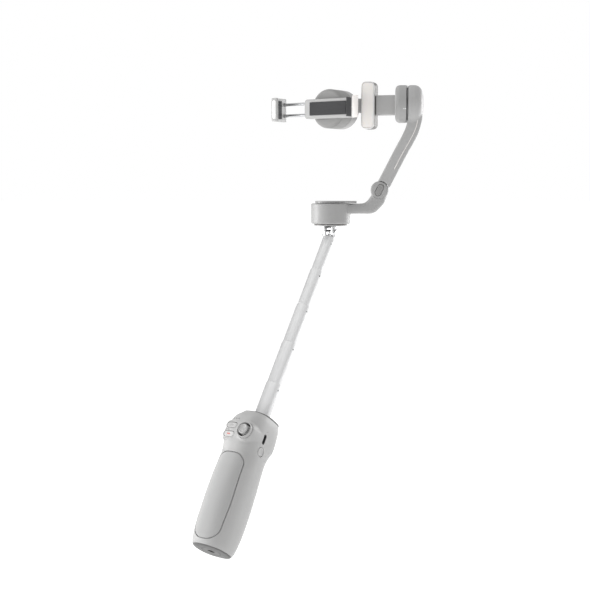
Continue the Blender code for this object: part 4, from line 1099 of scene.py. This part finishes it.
def make_roll_and_clamp():
    drum = [
        (0.0, -0.007), (0.017, -0.007), (0.017, 0.0092), (0.0188, 0.0092),
        (ROLL_RADIUS, 0.0088), (ROLL_RADIUS, -0.0068), (0.018, -0.0086), (0.0165, -0.009), (0.0, -0.009),
    ]
    shaft = disc(0.0024, 0.0175 + 0.008, 32)
    where = ROLL @ BACKWARD @ at(0, 0, (0.0175 - 0.008) / 2)
    solid = combined(spun(softened(drum, 0.0012, 5), 120), ROLL @ BACKWARD, (JOIN, shaft, where))
    # The roll housing takes the darker mid grey: painted shade, standing in for the shadow the held phone casts on it.
    place("roll_housing", solid, ROLL @ BACKWARD, ACCENT, "clamp", ["roll_drum"])

    left, right, back, face, rail_y = -0.02, 0.0365, -0.0093, -0.0174, -0.0134
    middle = (left + right) / 2
    where = CLAMP @ at(middle, (back + face) / 2, 0) @ FORWARD
    base = slab(pill(right - left, 0.019, 0.003, 8), back - face, 0.0012, 4)
    cutters = [
        (CUT, disc(0.0018, 0.054, 32), CLAMP @ at(left + 0.0265, rail_y, z) @ ALONG_X) for z in RAIL_HEIGHTS
    ]
    cutters.append((CUT, disc(0.0025, 0.04, 40), CLAMP @ at(left + 0.019, rail_y, 0) @ ALONG_X))
    place("cradle_base", combined(base, where, *cutters), where, ACCENT_HEAD, "clamp", ["clamp_base"], MID)
    for side, z in zip(("upper", "lower"), RAIL_HEIGHTS):
        rail = spun(softened([(0, 0.0265), (0.0015, 0.0265), (0.0015, -0.0265), (0, -0.0265)], 0.0004, 3), 40)
        spot = CLAMP @ at(-0.0225, rail_y, z) @ ALONG_X
        place(f"{side}_rail", rail, spot, STEEL, "slider", [f"{side}_clamp_rail"], "steel")
    coils, per_turn, length = 9, 24, 0.036
    points = [
        (length * i / (coils * per_turn), *around(0.0018, 360 * i / per_turn)) for i in range(coils * per_turn + 1)
    ]
    spring = drawn(points, 0.0003, 8)
    place("draw_spring", spring, CLAMP @ at(left + 0.0006, rail_y, 0), STEEL, "clamp", ["clamp_spring"], "steel")

    def ribbed(width, height, thick, ribs):
        """A rubber pad whose face has fine ribs across it."""
        line = []
        step = height / ribs
        for i in range(ribs):
            for sunk, along in ((0.00025, 0), (0, 0.25), (0, 0.75), (0.00025, 1)):
                line.append((thick / 2 - sunk, -height / 2 + height * i / ribs + step * along))
        return slab([(-thick / 2, -height / 2)] + line + [(-thick / 2, height / 2)], width)

    where = CLAMP @ at(middle, face - 0.0011 / 2 - GAP, 0) @ turned(-90, "Z") @ FORWARD
    place("cradle_pad", ribbed(0.042, 0.013, 0.0011, 11), where, RUBBER, "clamp", ["clamp_back_pad"], "rubber")

    half = 0.0115
    outline = rounded(
        (
            (0.037, back - 0.0003, 0.0), (0.0368, -0.0284, 0.0008), (0.0346, -0.0287, 0.0006),
            (0.0344, -0.0303, 0.0008), (0.0358, -0.0312, 0.0012), (0.0438, -0.0312, 0.0004), (0.0438, -0.0257, 0.0),
            (0.0483, -0.0257, 0.0012), (0.0483, -0.0228, 0.001), (0.0424, -0.0216, 0.0015),
            (0.0414, back - 0.0003, 0.002),
        ),
        6,
    )
    corner = [(0.033, 0.0068), (0.0346, 0.0068), (0.0386, half), (0.0386, 0.016), (0.033, 0.016)]
    corners = (corner, [(x, -z) for x, z in corner[::-1]])
    jaw = with_bevel(slab(outline, 2 * half), 0.0006, 4, 35)
    jaw = combined(
        jaw, CLAMP,
        (CUT, disc(0.014, 0.02, 96), CLAMP @ at(0.0519, -0.0357, 0) @ FORWARD),
        *[(CUT, slab(shape, 0.004), CLAMP @ at(0, -0.0304, 0) @ FORWARD) for shape in corners],
    )
    place("fixed_jaw", jaw, CLAMP, CREAM, "clamp", ["right_jaw"])
    plate = slab(pill(0.0066, 0.0212, 0.0008, 6), 0.0004, 0.0001, 2)
    place("fixed_jaw_face", plate, CLAMP @ at(0.0446, -0.0258, 0) @ FORWARD, CREAM, "clamp")

    outline = rounded(
        (
            (-0.0467, back - 0.0005, 0.001), (-0.0508, back - 0.0005, 0.002), (-0.0508, -0.0312, 0.0016),
            (-0.0432, -0.0312, 0.001), (-0.0432, -0.0287, 0.0008), (-0.0467, -0.0284, 0.0008),
        ),
        6,
    )
    jaw = with_bevel(slab(outline, 2 * half), 0.0008, 4, 35)
    jaw = combined(
        jaw, CLAMP,
        *[(CUT, disc(0.0018, 0.005, 32), CLAMP @ at(-0.0467, rail_y, z) @ ALONG_X) for z in RAIL_HEIGHTS],
        (CUT, slab(pill(0.0052, 0.0198, 0.0022, 8), 0.0012), CLAMP @ at(-0.047, -0.0312, 0) @ FORWARD),
    )
    place("sliding_jaw", jaw, CLAMP, ACCENT_HEAD, "slider", ["left_jaw"])
    inset = slab(pill(0.0045, 0.0191, 0.0019, 8), 0.0008, 0.0002, 3)
    place("sliding_jaw_inset", inset, CLAMP @ at(-0.047, -0.0308, 0) @ FORWARD, BEZEL_WHITE, "slider")
    for name, x, turn, body, node in (
        ("fixed_jaw_pad", 0.0368 - 0.0005 - GAP, math.pi, "clamp", "right_jaw_pad"),
        ("sliding_jaw_pad", -0.0467 + 0.0005 + GAP, 0.0, "slider", "left_jaw_pad"),
    ):
        where = CLAMP @ at(x, -0.0236, 0) @ Matrix.Rotation(turn, 4, "Z") @ FORWARD
        place(name, ribbed(0.0076, 0.018, 0.001, 12), where, RUBBER, body, [node], "rubber")


ACCENT_HEAD = plastic("moulded_head_accent", (0.46, 0.458, 0.455), rough=0.45)

for make in (
    make_handle, make_handle_ends, make_controls, make_rod, make_neck, make_lower_arm, make_upper_arm,
    make_tilt_group, make_light, make_roll_and_clamp,
):
    make()

KEPT = {
    "rod_guide_tube": DARK, "battery_cell": WRAP, "main_board": CIRCUIT, "joystick_ring": DARK, "led_light_guide": PIP,
    "usb_port": DARK, "trigger_pin": STEEL, "pan_motor_coils": COPPER, "pan_motor_bearing": STEEL,
    "pan_motor_magnets": MAGNET, "fold_pin": STEEL, "tilt_motor_coils": COPPER, "tilt_motor_bearing": STEEL,
    "tilt_motor_magnets": MAGNET, "roll_motor_coils": COPPER, "roll_motor_bearing": STEEL,
    "roll_motor_magnets": MAGNET, "light_board": CIRCUIT,
}
for node, thing in frame["nodes"].items():
    if node in KEPT:
        thing.data.materials.clear()
        thing.data.materials.append(KEPT[node])

# ---------------------------------------------------------------- floor, light and camera


TOP_LIGHT = 1.15
BASE_LIGHT = 0.42


def studio():
    low, high = (Vector(c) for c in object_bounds())
    floor = temporary(spun([(40.0, 0.0), (2.0, 0.0), (0.0, 0.0)], 96))
    floor.name = "floor"
    floor.location = (0, 0.1, low.z - 0.06)
    surface, n = new_material("pale_floor")
    n.set("Base Color", n.mix(n.noise(3.0), (0.62, 0.62, 0.62, 1), (0.64, 0.64, 0.64, 1)))
    n.set("Roughness", 0.9)
    n.set("Emission Color", (1, 1, 1, 1))
    n.set("Emission Strength", 0.56)
    floor.data.materials.append(surface)
    floor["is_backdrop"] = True

    # A white room to look at, brighter overhead.
    world = bpy.data.worlds.new("studio")
    world.use_nodes = True
    tree = world.node_tree

    def add(kind, *inputs, operation=None):
        node = tree.nodes.new("ShaderNode" + kind)
        if operation:
            node.operation = operation
        for socket, value in zip(node.inputs, inputs):
            if isinstance(value, bpy.types.NodeSocket):
                tree.links.new(value, socket)
            else:
                socket.default_value = value
        return node

    # brighter overhead: TOP_LIGHT times the square of the direction's upward share, over an even base
    split = add("SeparateXYZ", add("TexCoord").outputs["Generated"])
    upward = add("Math", split.outputs["Z"], 0.0, operation="MAXIMUM").outputs[0]
    square = add("Math", upward, 2.0, operation="POWER").outputs[0]
    strength = add("Math", square, TOP_LIGHT, BASE_LIGHT, operation="MULTIPLY_ADD").outputs[0]
    falling = add("Background")
    tree.links.new(strength, falling.inputs["Strength"])
    seen = tree.nodes["Background"]
    seen.inputs["Color"].default_value = (1, 1, 1, 1)
    mixed = add("MixShader", add("LightPath").outputs["Is Camera Ray"], falling.outputs[0], seen.outputs[0])
    tree.links.new(mixed.outputs[0], tree.nodes["World Output"].inputs["Surface"])
    bpy.context.scene.world = world
    bpy.context.scene.view_settings.view_transform = "Standard"

    target = (low + high) / 2

    # the polished rod takes only the room's even light, as it does when the lamps are flagged off it
    flagged = bpy.data.collections.new("rod_off_the_lamps")
    for thing in bpy.context.scene.objects:
        if thing.name.startswith("rod_tube"):
            flagged.objects.link(thing)
    for entry in flagged.collection_objects:
        entry.light_linking.link_state = "EXCLUDE"

    def lamp(name, where, size, power):
        data = bpy.data.lights.new(name, "AREA")
        data.energy = power
        data.size = size
        made = linked(name, data)
        made.location = where
        made.rotation_euler = (target - Vector(where)).to_track_quat("-Z", "Y").to_euler()
        made.light_linking.receiver_collection = flagged

    lamp("left_soft_box", (-1.45, -0.7, 0.45), 1.0, 23)
    lamp("right_soft_box", (0.5, 1.8, 0.4), 1.0, 15)


def camera():
    data = bpy.data.cameras.new("camera")
    data.lens = 73.2
    data.sensor_width = 36.0
    made = linked("camera", data)
    made.location = (0.6592, -0.8115, 0.3201)
    made.rotation_euler = (math.radians(90 - 5.0), 0, math.radians(35.0))
    bpy.context.scene.camera = made


studio()
camera()
